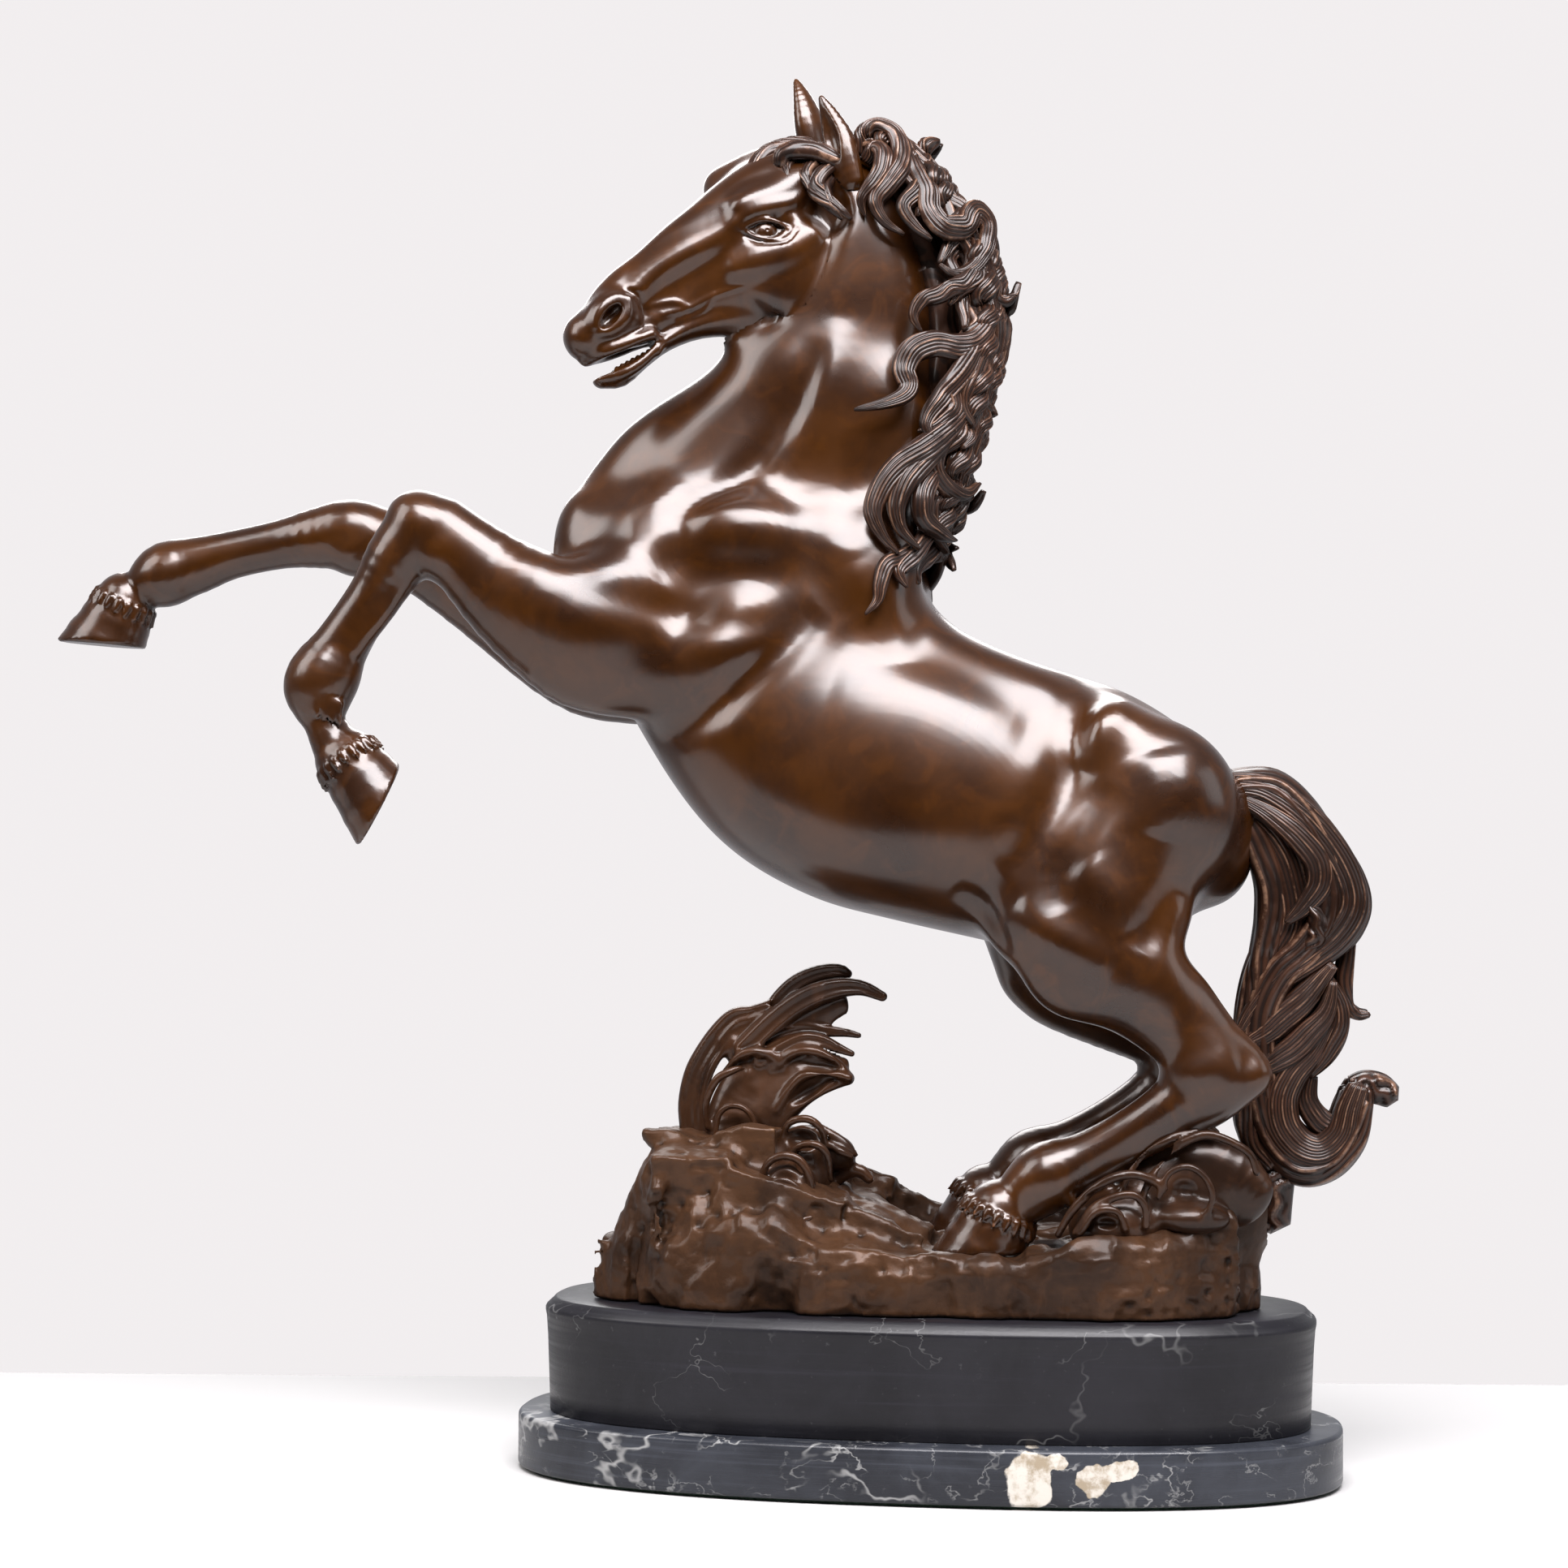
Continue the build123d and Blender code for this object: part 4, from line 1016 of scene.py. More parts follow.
# Locks of the mane on the left side: part, path, width, thickness, ridges.
MANE = [
    ("upper", [(-26, -10, 481), (-25, -11, 488), (-20, -11, 491), (-14, -11, 488), (-11, -14, 481),
               (-11, -18, 474), (-15, -22, 467), (-19, -24, 461), (-16, -24, 454),
               (-9, -22, 449)], 5.0, 3.4, 6),
    ("upper", [(-24, -14, 478), (-20, -16, 482), (-17, -18, 479), (-17, -21, 473), (-20, -23, 468),
               (-24, -24, 462), (-23, -23, 456)], 4.0, 3.0, 5),
    ("upper", [(-16, -6, 489), (-10, -9, 484), (-6, -13, 475), (-1, -17, 466), (0, -19, 458),
               (5, -19, 452), (12, -16, 453), (16, -12, 459), (20, -9, 455), (20, -11, 446),
               (16, -15, 438), (9, -19, 435), (4, -21, 438)], 5.2, 3.4, 7),
    ("upper", [(-12, -2, 479), (-8, -2, 481), (-3, -2, 485), (2, 0, 487)], 4.6, 4.4, 3),
    ("upper", [(-4, -9, 471), (4, -9, 465), (11, -8, 460), (17, -7, 450), (20, -6, 441),
               (20, -5, 434), (23, -3, 428), (28, -1, 428), (31, 0, 435)], 5.0, 3.6, 6),
    ("upper", [(-22, -6, 491), (-14, -7, 487), (-8, -8, 480), (-4, -13, 472), (-5, -19, 465),
               (-9, -22, 459), (-5, -22, 452), (1, -21, 447)], 4.4, 3.2, 6),
    ("upper", [(-8, -4, 479), (0, -6, 470), (6, -9, 461), (9, -12, 452), (14, -12, 444),
               (12, -15, 436)], 5.0, 3.6, 6),
    ("middle", [(15, -10, 446), (16, -15, 437), (11, -19, 431), (4, -22, 427), (-2, -23, 425),
                (-5, -24, 419), (-2, -24, 413)], 3.6, 2.8, 5),
    ("middle", [(20, -6, 432), (21, -10, 420), (17, -16, 411), (10, -20, 408), (2, -23, 409),
                (-5, -26, 406), (-8, -28, 399), (-6, -29, 393), (-8, -31, 389), (-15, -33, 386),
                (-25, -34, 384)], 5.2, 3.2, 7),
    ("middle", [(20, -2, 436), (23, -3, 421), (22, -3, 411), (19, -3, 403), (17, -3, 395),
                (21, -1, 387)], 5.4, 4.0, 6),
    ("middle", [(17, -9, 421), (16, -15, 409), (11, -19, 398), (5, -22, 389), (0, -25, 380),
                (3, -26, 373)], 5.2, 3.6, 7),
    ("middle", [(18, -6, 424), (19, -10, 412), (16, -13, 400), (12, -16, 390), (15, -12, 380)],
     5.0, 3.6, 6),
    ("middle", [(13, -13, 402), (8, -19, 394), (9, -20, 386), (4, -23, 380), (-3, -26, 377)],
     4.0, 3.0, 5),
    ("lower", [(16, -8, 396), (11, -15, 384), (5, -22, 376), (-1, -27, 370), (-9, -30, 364),
               (-15, -33, 356), (-18, -35, 347), (-15, -35, 339), (-9, -33, 332)], 5.2, 3.4, 7),
    ("lower", [(12, -12, 385), (5, -21, 374), (-1, -26, 366), (-7, -30, 358), (-10, -32, 349),
               (-8, -32, 341), (-2, -29, 334)], 4.6, 3.4, 6),
    ("lower", [(11, -9, 383), (4, -17, 373), (2, -20, 364), (6, -16, 358), (12, -9, 356),
               (17, -3, 361)], 4.4, 3.6, 6),
    ("lower", [(3, -19, 364), (-1, -25, 355), (-1, -25, 346), (4, -18, 341), (9, -9, 339)],
     4.6, 3.8, 6),
    ("lower", [(8, -8, 372), (4, -12, 360), (1, -16, 350), (2, -14, 341), (6, -8, 334)],
     4.6, 3.6, 5),
    ("lower", [(3, -13, 346), (-2, -22, 337), (-8, -29, 331), (-13, -34, 328), (-15, -36, 321),
               (-16, -37, 315), (-20, -39, 310)], 3.6, 2.6, 5),
    ("lower", [(4, -10, 348), (-1, -20, 339), (-5, -27, 331), (-9, -32, 326), (-6, -32, 320)],
     4.0, 3.0, 5),
    ("lower", [(4, -4, 342), (0, -12, 334), (-4, -20, 328), (-3, -22, 322)], 4.0, 3.2, 5)]
CORE = [("upper", [(-26, 478), (-10, 463), (0, 447), (5, 432)]),
        ("middle", [(2, 440), (6, 428), (8, 412), (6, 396), (4, 384)]),
        ("lower", [(6, 393), (3, 378), (0, 360), (-5, 342), (-10, 331)])]
CROWN = [("upper", [(-27, 489), (-16, 483), (-4, 474), (5, 461), (11, 448), (15, 436)]),
         ("middle", [(11, 450), (17, 438), (17, 424), (17, 411), (15, 396), (12, 382)]),
         ("lower", [(15, 394), (11, 380), (7, 364), (2, 348), (-3, 334)])]
FORELOCK = [([(-37, -10, 483), (-45, -8, 489), (-54, -8, 491), (-61, -12, 488), (-65, -16, 482),
              (-63, -19, 476)], 4.2, 3.4, 5),
            ([(-33, -15, 481), (-38, -19, 479), (-41, -22, 473), (-38, -24, 468), (-33, -24, 464),
              (-28, -23, 460)], 3.6, 2.8, 4),
            ([(-38, -3, 486), (-46, -2, 491), (-54, -2, 493), (-60, -4, 490)], 4.4, 3.6, 4),
            ([(-36, -17, 477), (-38, -22, 471), (-35, -24, 465), (-31, -24, 460)], 3.0, 2.6, 4),
            ([(-38, 2, 487), (-47, 4, 491), (-57, 5, 490), (-64, 3, 485)], 4.0, 3.4, 4),
            ([(-34, -2, 487), (-42, -6, 490), (-48, -12, 488), (-52, -18, 482), (-51, -22, 476)],
             3.8, 3.0, 5),
            ([(-34, -8, 484), (-41, -14, 484), (-45, -20, 478), (-43, -23, 471)], 3.4, 2.8, 4)]


def make_mane(skin):
    def outward(p):
        g = skin.slope(np.array([p]))[0]
        back = unit(vec(0.6, p[1] * 0.05, 0.15))
        return unit(g * 0.75 + back * 0.3)

    parts = {"upper": [], "middle": [], "lower": []}
    for part, rows in CORE:
        path = [(x - 4.5, 0.0, z) for x, z in rows]
        parts[part].append(strand(path, 11.5, 9.5, 14, vec(0.8, 0, 0.35), 0.9, 0.8, 0.5, 1.0, 1.6))
    for part, rows in CROWN:
        for side in (LEFT, RIGHT):
            path = [(x + 1.2 * math.sin(i * 2.0), side * 6.5, z) for i, (x, z) in enumerate(rows)]
            way = vec(0.75, side * 0.6, 0.25)
            parts[part].append(strand(path, 9.0, 6.0, 11, way, 0.8, 0.6, 0.5, side, 1.2))
        path = [(x + 1.5, 1.0 + 1.5 * math.sin(i * 2.4), z) for i, (x, z) in enumerate(rows)]
        parts[part].append(strand(path, 6.5, 5.0, 8, vec(0.95, 0, 0.3), 0.8, 0.5, 0.5, 2.0, 1.0))
    for i, (part, path, wide, thick, ridges) in enumerate(MANE):
        parts[part].append(strand(path, wide, thick, ridges, outward, seed=i))
        drop = 2.0 * math.cos(2 * i) - 2.5
        far = [(x + 1.5 * math.sin(3 * i), 1.5 - y, z + drop) for x, y, z in path]
        parts[part].append(strand(far, wide, thick, ridges, outward, seed=i + 40))
    # short filling locks close to the crest on both sides
    rng = np.random.default_rng(3)
    for part, rows in CROWN:
        spine = smooth_rows([(x, 0.0, z) for x, z in rows], 3)
        for k in range(0, len(spine) - 5, 2):
            for side in (LEFT, RIGHT):
                bend = rng.uniform(2.0, 4.0) * (1 if k % 4 else -1)
                path = []
                for j in range(6):
                    x, _, z = spine[min(k + j, len(spine) - 1)]
                    away = 5.0 + 3.0 * j
                    path.append((x - 1.2 * j + bend * math.sin(1.6 * j), side * away, z - 1.0 * j))
                parts[part].append(strand(path, 3.8, 3.0, 5, outward, 0.7, 0.2, 0.4,
                                          rng.uniform(0, 9)))
    # waves down the back of the crest
    for part, rows in CROWN:
        spine = smooth_rows([(x, 0.0, z) for x, z in rows], 4)
        for k in range(0, len(spine) - 6, 3):
            for y in (-9.0, -3.0, 3.0, 9.0):
                turn = rng.uniform(0, 6)
                path = []
                for j in range(7):
                    x, _, z = spine[min(k + j, len(spine) - 1)]
                    out = 4.5 - 0.035 * y * y + 2.6 * math.sin(1.5 * j + turn)
                    path.append((x + out, y * (1 + 0.06 * j) + 2.4 * math.cos(1.5 * j + turn), z))
                parts[part].append(strand(path, 4.2, 3.4, 6, vec(0.85, 0.05 * y, 0.3), 0.5, 0.25,
                                          0.4, turn))
    return {"mane_" + k: hair_object("mane_" + k + "_locks", v) for k, v in parts.items()}


def make_forelock():
    strands = []
    for i, (path, wide, thick, ridges) in enumerate(FORELOCK):
        low = [(x, y, z - 5.5 + 0.04 * (x + 36)) for x, y, z in path]
        strands.append(strand(low, wide, thick, ridges, vec(-0.3, -0.6, 0.7), seed=i))
    for i, y in enumerate((-17, -12, -6, 0, 5)):
        path = [(-33, y, 476), (-42, y, 480), (-52, y - 1, 480), (-59 + abs(y + 5) * 0.4, y - 1, 475)]
        strands.append(strand(path, 4.6, 4.6, 6, vec(-0.3, -0.2, 0.9), 0.8, 0.5, 0.5, i + 20))
    return hair_object("forelock_locks", strands)


# Tail bundles: path in (x, z), side offset, width, thickness, ridges, root, tip, peak.
TAIL = [
    ([(104, 244), (112, 248), (124, 248), (133, 240), (140, 228), (144, 214), (143, 201),
      (136, 190), (127, 181), (121, 168), (120, 152), (121, 138), (124, 124), (133, 114),
      (144, 116), (151, 126), (155, 138)], 0.0, 8.5, 11.0, 5, 0.9, 0.7, 0.3, 0.9),
    ([(106, 240), (118, 237), (128, 225), (132, 211), (131, 199), (126, 188), (121, 176)],
     -1.0, 9.5, 6.0, 12, 0.8, 0.8, 0.4, 0.6),
    ([(130, 204), (124, 188), (120, 173), (118, 158), (118, 144)],
     -1.0, 8.0, 5.5, 10, 0.6, 0.7, 0.4, 0.6),
    ([(108, 250.5), (121, 249), (134, 240.5), (144, 228.5), (150.5, 216), (152, 206), (147, 196),
      (138, 188), (127, 180), (118, 170), (112, 160)], -6.5, 6.6, 4.4, 10, 0.75, 0.25, 0.45, 0.5),
    ([(122, 250.5), (137, 241.5), (147, 229), (154, 217), (156.5, 207), (154.5, 198), (150, 190)],
     -2.5, 3.6, 3.6, 6, 0.3, 0.2, 0.5, 0.4),
    ([(113, 245), (123, 239.5), (133, 232.5), (140, 223.5), (141, 214.5), (136, 207), (129, 201)],
     -9.0, 5.4, 3.2, 8, 0.4, 0.2, 0.5, 0.4),
    ([(110, 240), (119, 229), (123.5, 215), (123.5, 201), (121, 187), (118, 173), (115, 159)],
     -4.0, 5.6, 5.0, 3, 0.9, 0.5, 0.3, 0.9),
    ([(137.5, 208), (140.5, 202), (140, 196), (136, 191)], -8.5, 4.2, 4.0, 2, 0.4, 0.3, 0.5, 0.9),
    ([(152, 194), (150.5, 185), (150, 177), (151, 171), (155, 168), (159, 168)], -1.5, 3.2, 3.0, 3,
     0.7, 0.3, 0.3, 0.3),
    ([(143, 183), (147.5, 173), (147.5, 163), (144, 154), (138, 146)], -5.0, 4.2, 3.6, 6,
     0.4, 0.3, 0.5, 0.4),
    ([(146, 186), (138, 177), (130, 168), (122, 161), (114, 156)], -7.5, 5.4, 3.8, 9,
     0.4, 0.4, 0.5, 0.5),
    ([(146, 180), (143, 168), (136, 159.5), (128, 152.5), (120, 148)], -8.0, 5.4, 3.6, 9,
     0.3, 0.4, 0.6, 0.5),
    ([(144, 166), (138, 155), (131, 146.5), (127, 137.5), (128, 127.5), (134, 120.5),
      (142, 119), (149, 125), (152, 134.5), (155, 142.5)], -6.0, 7.2, 4.4, 12, 0.5, 0.55, 0.4, 0.3),
    ([(138, 146), (137, 137), (141, 130), (147, 127.5), (150, 134), (151, 141)],
     -3.0, 4.6, 3.6, 6, 0.6, 0.4, 0.4, 0.3),
    ([(116, 139), (119, 126), (126, 116), (136, 111), (146, 114), (153.5, 123), (156, 134),
      (157, 141.5)], -2.0, 5.2, 6.5, 4, 0.6, 0.7, 0.4, 0.9),
    ([(122, 150), (117, 140), (115, 130), (118, 120), (124, 113)], -5.0, 4.2, 4.0, 4,
     0.6, 0.6, 0.4, 0.5),
    ([(153, 141), (158, 142), (163, 141), (167.5, 138.5)], 0.0, 5.6, 5.0, 2, 0.75, 0.75, 0.6, 2.2),
    ([(128, 116), (125, 108), (124, 100), (124, 92)], 1.0, 8.0, 8.0, 3, 0.8, 0.9, 0.5, 0.9)]


def make_tail():
    strands = []
    for i, (path, off, wide, thick, ridges, root, tip, peak, rough) in enumerate(TAIL):
        near = [(x, off, z) for x, z in path]
        far = [(x - 0.7, 3.0 - off, z + 0.7) for x, z in path]
        for side, lock, seed in ((LEFT, near, i), (RIGHT, far, i + 9)):
            strands.append(strand(lock, wide, thick, ridges, vec(0.1, side, 0.1), root, tip, peak,
                                  seed, 0.5, rough))
    return hair_object("tail_locks", strands)


# ------------------------------------------------------------ rock and waves
SLAB_FOOT = 1.2
SLAB_TOP = 20.5
DRUM_TOP = 62.0
# centre, half sizes, tilt, toe, roll of each boulder
ROCKS = [((-111, -14, 76), (6, 22, 20), -14, 4, 16), ((-112, -2, 70), (7, 30, 16), 4, 0, 0),
         ((-99, -20, 84), (6, 22, 28), 2, 10, 14), ((-98, 4, 88), (10, 34, 27), -5, -6, 3),
         ((-83, -14, 92), (14, 24, 28), 3, 6, 10), ((-78, -20, 110), (11, 12, 9), -12, -8, 24),
         ((-80, -36, 80), (13, 13, 20), -28, 10, 18), ((-72, 8, 92), (24, 36, 30), 4, -4, -4),
         ((-64, -40, 74), (9, 12, 22), -32, -6, 12), ((-56, -6, 88), (22, 34, 24), -18, 4, 6),
         ((-49, -41, 74), (15, 12, 14), -10, 6, 20), ((-34, -34, 82), (20, 18, 12), -22, -4, 22),
         ((-30, 6, 78), (28, 42, 22), -20, -3, 2), ((-30, -42, 72), (14, 12, 9), 6, 12, 14),
         ((-12, -38, 70), (18, 13, 10), -6, -8, 16), ((-6, -2, 66), (30, 50, 18), -6, 2, 1),
         ((24, 0, 62), (36, 50, 19), 0, 0, 2), ((26, -44, 68), (38, 9, 12), 3, 0, 10),
         ((66, -43, 72), (26, 10, 15), 4, -3, 12), ((98, -34, 72), (20, 16, 16), 2, -16, 10),
         ((60, 0, 66), (34, 50, 20), 8, 2, 2), ((92, -4, 72), (30, 44, 22), 8, -4, 4),
         ((108, -4, 78), (15, 34, 26), -6, 4, 6), ((86, 22, 82), (26, 26, 20), 12, 10, -10),
         ((30, 32, 70), (30, 20, 18), -4, 6, -12), ((-8, 38, 74), (22, 14, 20), -14, -10, -16),
         ((-44, 36, 84), (20, 16, 26), -20, 8, -14), ((-78, 36, 84), (20, 14, 28), 6, -12, -16),
         ((58, 42, 76), (22, 10, 22), 18, 6, -16)]


def add_rock(field):
    for centre, half, tilt, toe, roll in ROCKS:
        field.add(Block(centre, half, turned(tilt, toe, roll)), 4.5)
    # the mound's shoulder slopes away on the left
    field.carve(Block((-115.7, 0, 105.4), (12, 70, 20), turned(-26.6)), 6.0)
    # smaller broken pieces standing off the walls
    rng = np.random.default_rng(21)
    for i in range(70):
        t = rng.uniform(0, 2 * math.pi)
        x = 101 * math.cos(t)
        y = 47 * math.sin(t)
        ground = 82 + 32 * math.exp(-((x + 84) / 26) ** 2) + 14 * math.exp(-((x - 100) / 26) ** 2)
        z = rng.uniform(64, ground - 8)
        half = rng.uniform(4.0, 10, 3)
        if y < 0 and -6 < x < 96:
            continue
        field.add(Block((x, y, z), half, turned(*rng.uniform(-35, 35, 3))), 5.0)
    # basin round the near hoof, behind the front ledge
    field.carve(Ball((24, -25, 92), (34, 16, 9.5)), 6.0)
    field.carve(Ball((14, 22, 93), (34, 18, 9.5)), 6.0)
    # edge of the ledge
    ledge = [(-10, 72), (-2, 76.5), (8, 80), (24, 80.5), (41, 81.5), (52, 83.5), (59, 88), (70, 88),
             (87, 88), (98, 88.5), (105, 91), (112, 87)]
    rows = [(x, -49.5 + 0.0011 * (x - 40) ** 2, z - 2.0, 2.4, 2.6) for x, z in ledge]
    field.add(chain(rows, 3), 5.0)


def shape_rock(field):
    """Oval footprint, flat bottom and a hammered, pitted skin."""
    x, y, z = field.grids([slice(0, n) for n in field.shape])
    foot = (np.abs(x / 118.5) ** 2.6 + np.abs(y / 58.0) ** 2.6) ** (1 / 2.6)
    wall = ((foot - 1) * 58.0).astype(np.float32)
    value = -smin(-field.value, -wall, 8.0)
    near = np.abs(value) < 8
    spots = np.argwhere(near)
    points = field.low + spots * field.step
    rough = (noise(points * vec(1, 1, 0.6), 15.0, 1) - 0.5) * 7.0
    fold = np.abs(noise(points * vec(1, 1, 0.55), 8.0, 2) - 0.5)
    rough += (fold - 0.12) * 3.6
    dents = noise(points, 3.4, 3)
    patch = np.clip((noise(points, 24.0, 4) - 0.42) * 5, 0, 1)
    rough += np.clip(0.5 - dents, 0, 1) * 2.6 * patch + (noise(points, 1.9, 5) - 0.5) * 0.5
    value[near] += rough.astype(np.float32)
    field.value = value
    # the rise under the tail
    field.add(Ball((115, -1, 96), (10, 15, 15), turned(-12)), 6.0)
    field.value = np.maximum(field.value, (DRUM_TOP + 0.3 - z).astype(np.float32))


def blade(field, points, y, fat, flat, groove, blend, sizes):
    """A blade of water through (x, z) spots, sized by a share at each, with channels."""
    rows = [(x, y, z, fat * share, flat * (0.4 + 0.6 * share))
            for (x, z), share in zip(points, sizes)]
    field.add(chain(rows, 4), blend)
    for side in (LEFT, RIGHT):
        cut = [(x, y + side * wide, z, deep * 0.55, wide * groove) for x, _, z, deep, wide in rows]
        field.carve(chain(cut, 4), 0.7)


def rim(field, points, y, radius, lean, taper=0.55):
    """A raised wave rim through (x, z) spots; lean pushes its middle outward."""
    last = len(points) - 1
    rows = []
    for i, (x, z) in enumerate(points):
        bow = math.sin(math.pi * i / last)
        size = radius * (taper + (1 - taper) * bow)
        rows.append((x, y + lean * bow, z, size, size))
    field.add(chain(rows, 4), 2.4)


def add_plume(field):
    # left blade with its channel, bending over to the fan
    blade(field, [(-88, 112), (-88.5, 122), (-89, 132), (-87, 142.5), (-83, 150.5), (-77.5, 158.5),
                  (-72, 164), (-66, 165.5), (-60, 167.5)], 1.0, 4.2, 4.2, 0.42, 1.4,
          [0.9, 0.95, 1.0, 1.0, 1.0, 0.95, 0.85, 0.7, 0.6])
    rim(field, [(-84.5, 116), (-84, 124), (-83.5, 132.5), (-81, 142.5), (-77, 150), (-72.5, 155.5)],
        -1.5, 1.3, -1.0, 0.8)
    # fan: a thin web that thickens to the stem
    field.add(chain([(-68, -1, 110, 16, 10), (-70, -1, 122, 13, 8.5), (-67, -1, 132, 13, 6.0),
                     (-60, -1, 142, 13, 4.0), (-55, -1, 150, 11, 3.2), (-58, 0, 159, 5.5, 2.8),
                     (-62, 0, 163, 4, 2.6)], 4), 2.0)
    field.add(chain([(-60, -3, 128, 9, 6), (-50, -4, 137, 7.5, 4.0), (-40, -4, 142.5, 5, 2.6),
                     (-30, -4, 142.8, 1.8, 1.6)], 4), 2.0)
    field.add(chain([(-70, 0.5, 148, 13, 3.6), (-60, 0.5, 156, 12, 3.2), (-50, 0.5, 163, 10, 2.6),
                     (-40, 0.5, 168, 7.5, 2.2), (-32, 0.5, 170, 4.5, 2.0)], 4), 2.5)
    field.add(chain([(-62, -1, 138, 11, 5), (-50, -2, 144, 9, 3.6), (-40, -3, 147, 6, 2.6),
                     (-31, -3, 147, 3, 2.0)], 4), 2.5)
    blade(field, [(-67, 154), (-60, 164), (-55.5, 171), (-49, 177), (-41, 180.5), (-34, 181.5),
                  (-30.5, 180.5)], 3.0, 3.4, 3.2, 0.4, 1.2, [1, 1, 1, 1, 0.95, 0.8, 0.5])
    blade(field, [(-68, 152), (-59, 161), (-50.5, 168), (-41.5, 173), (-32.5, 175.5), (-24.5, 175.5),
                  (-17, 172.5)], -2.5, 4.4, 3.4, 0.42, 1.2, [1, 1, 1, 1, 0.85, 0.65, 0.42])
    blade(field, [(-65, 152), (-56, 157.5), (-47, 160), (-39, 159.5), (-31, 159), (-26, 158)],
          0.0, 2.4, 2.8, 0.35, 1.2, [1, 1, 1, 0.95, 0.7, 0.45])
    blade(field, [(-62, 148), (-54.5, 152.5), (-46, 156.5), (-39, 156), (-33, 153.5), (-28, 151.5)],
          -4.0, 2.6, 3.0, 0.35, 1.2, [1, 1, 1, 0.9, 0.7, 0.45])
    # cupped lobes on the right
    rim(field, [(-57, 146), (-49, 151.5), (-42, 152.5), (-35, 149.5), (-28.3, 143)], -5.5, 1.7, -2.0,
        0.7)
    rim(field, [(-55, 131), (-49, 140), (-44, 143.8), (-36, 144.8), (-28.5, 142.8)], -8.0, 1.7, -1.0,
        0.7)
    rim(field, [(-54, 123), (-51.5, 128), (-46.5, 133), (-38.5, 138), (-29, 141.8)], -5.5, 1.8, -1.0,
        0.8)
    # visors over dark cups
    rim(field, [(-75, 144.5), (-69.5, 150), (-63, 152), (-57, 150.3), (-52, 145.5)], -4.5, 1.5, -2.0,
        0.6)
    rim(field, [(-81, 124), (-81, 133), (-77.5, 141), (-73.5, 144), (-68.5, 145.5), (-65.5, 143.5)],
        -7.0, 1.6, -3.5, 0.6)
    rim(field, [(-77.5, 120), (-75.8, 129), (-71.3, 132.3), (-66.3, 131.3), (-62.8, 126.4),
                (-62.3, 119)], -11.0, 1.2, -1.5, 0.9)
    for side, drop in ((LEFT, 0.0), (RIGHT, 2.0)):
        field.carve(Ball((-62.5, side * 11 + drop, 143.5), (8.0, 5.0, 4.6), turned(24)), 2.0)
        field.carve(Ball((-69.5, side * 13 + drop, 125), (5.6, 4.5, 5.4)), 1.0)
        field.carve(Ball((-41, side * 9 + drop, 147.5), (10, 4.2, 2.6), turned(-6)), 1.2)
        field.carve(Ball((-43, side * 10 + drop, 138), (9, 4.8, 3.0), turned(34)), 1.2)


def add_front_scrolls(field):
    field.add(Ball((-50, -12, 108), (17, 13, 15), turned(-34)), 3.0)
    field.add(Ball((-44, -16, 118), (8, 8, 8)), 3.0)
    field.add(Ball((-32, -12, 116), (7, 7, 6), turned(-35)), 3.0)
    field.add(Ball((-48, -28, 102), (10.5, 9, 12), turned(-12)), 3.0)
    rim(field, [(-52, 120), (-48.5, 127), (-42, 128.8), (-37, 125.5), (-35.2, 119)], -20, 1.5, -3)
    field.carve(Ball((-43.5, -24, 121.5), (6.4, 6, 4.2), turned(-8)), 1.0)
    rim(field, [(-49.5, 114.5), (-44, 119.3), (-38, 119.8), (-34, 116), (-33, 107)], -24, 1.5, -3)
    field.carve(Ball((-40, -28, 112.5), (5.4, 6, 4.4)), 1.0)
    rim(field, [(-38, 126), (-32, 122), (-28, 119), (-24.8, 115.7)], -17, 1.9, -1, 0.5)
    rim(field, [(-33, 119), (-29.5, 117), (-26, 115)], -20, 1.4, -1, 0.6)
    rim(field, [(-33, 105), (-28.5, 108.6), (-24, 109.2), (-20.8, 106.5)], -10, 2.6, 0, 0.75)
    rim(field, [(-58, 105), (-54.5, 113.4), (-48.6, 116.4), (-42.6, 114.6), (-39.2, 108.6),
                (-38.4, 101)], -33, 1.6, -2, 0.7)
    field.carve(Ball((-48.5, -39, 109), (7.6, 5.5, 4.6), turned(-12)), 0.9)
    rim(field, [(-57, 99.5), (-53.2, 106), (-47.3, 107.6), (-41.5, 103.3), (-37.6, 96)], -36, 1.5, -2,
        0.7)
    field.carve(Ball((-47, -42, 101), (7.0, 5.0, 4.0), turned(-14)), 0.9)
    rim(field, [(-55.2, 95.5), (-50.8, 100), (-46, 99.6), (-42, 94)], -39, 1.3, -1.5, 0.8)
    field.carve(Ball((-48.5, -43.5, 95), (4.4, 4.0, 2.8)), 0.7)
    rim(field, [(-57, 92.6), (-47, 91.8), (-38, 95)], -40, 1.6, -1, 0.7)


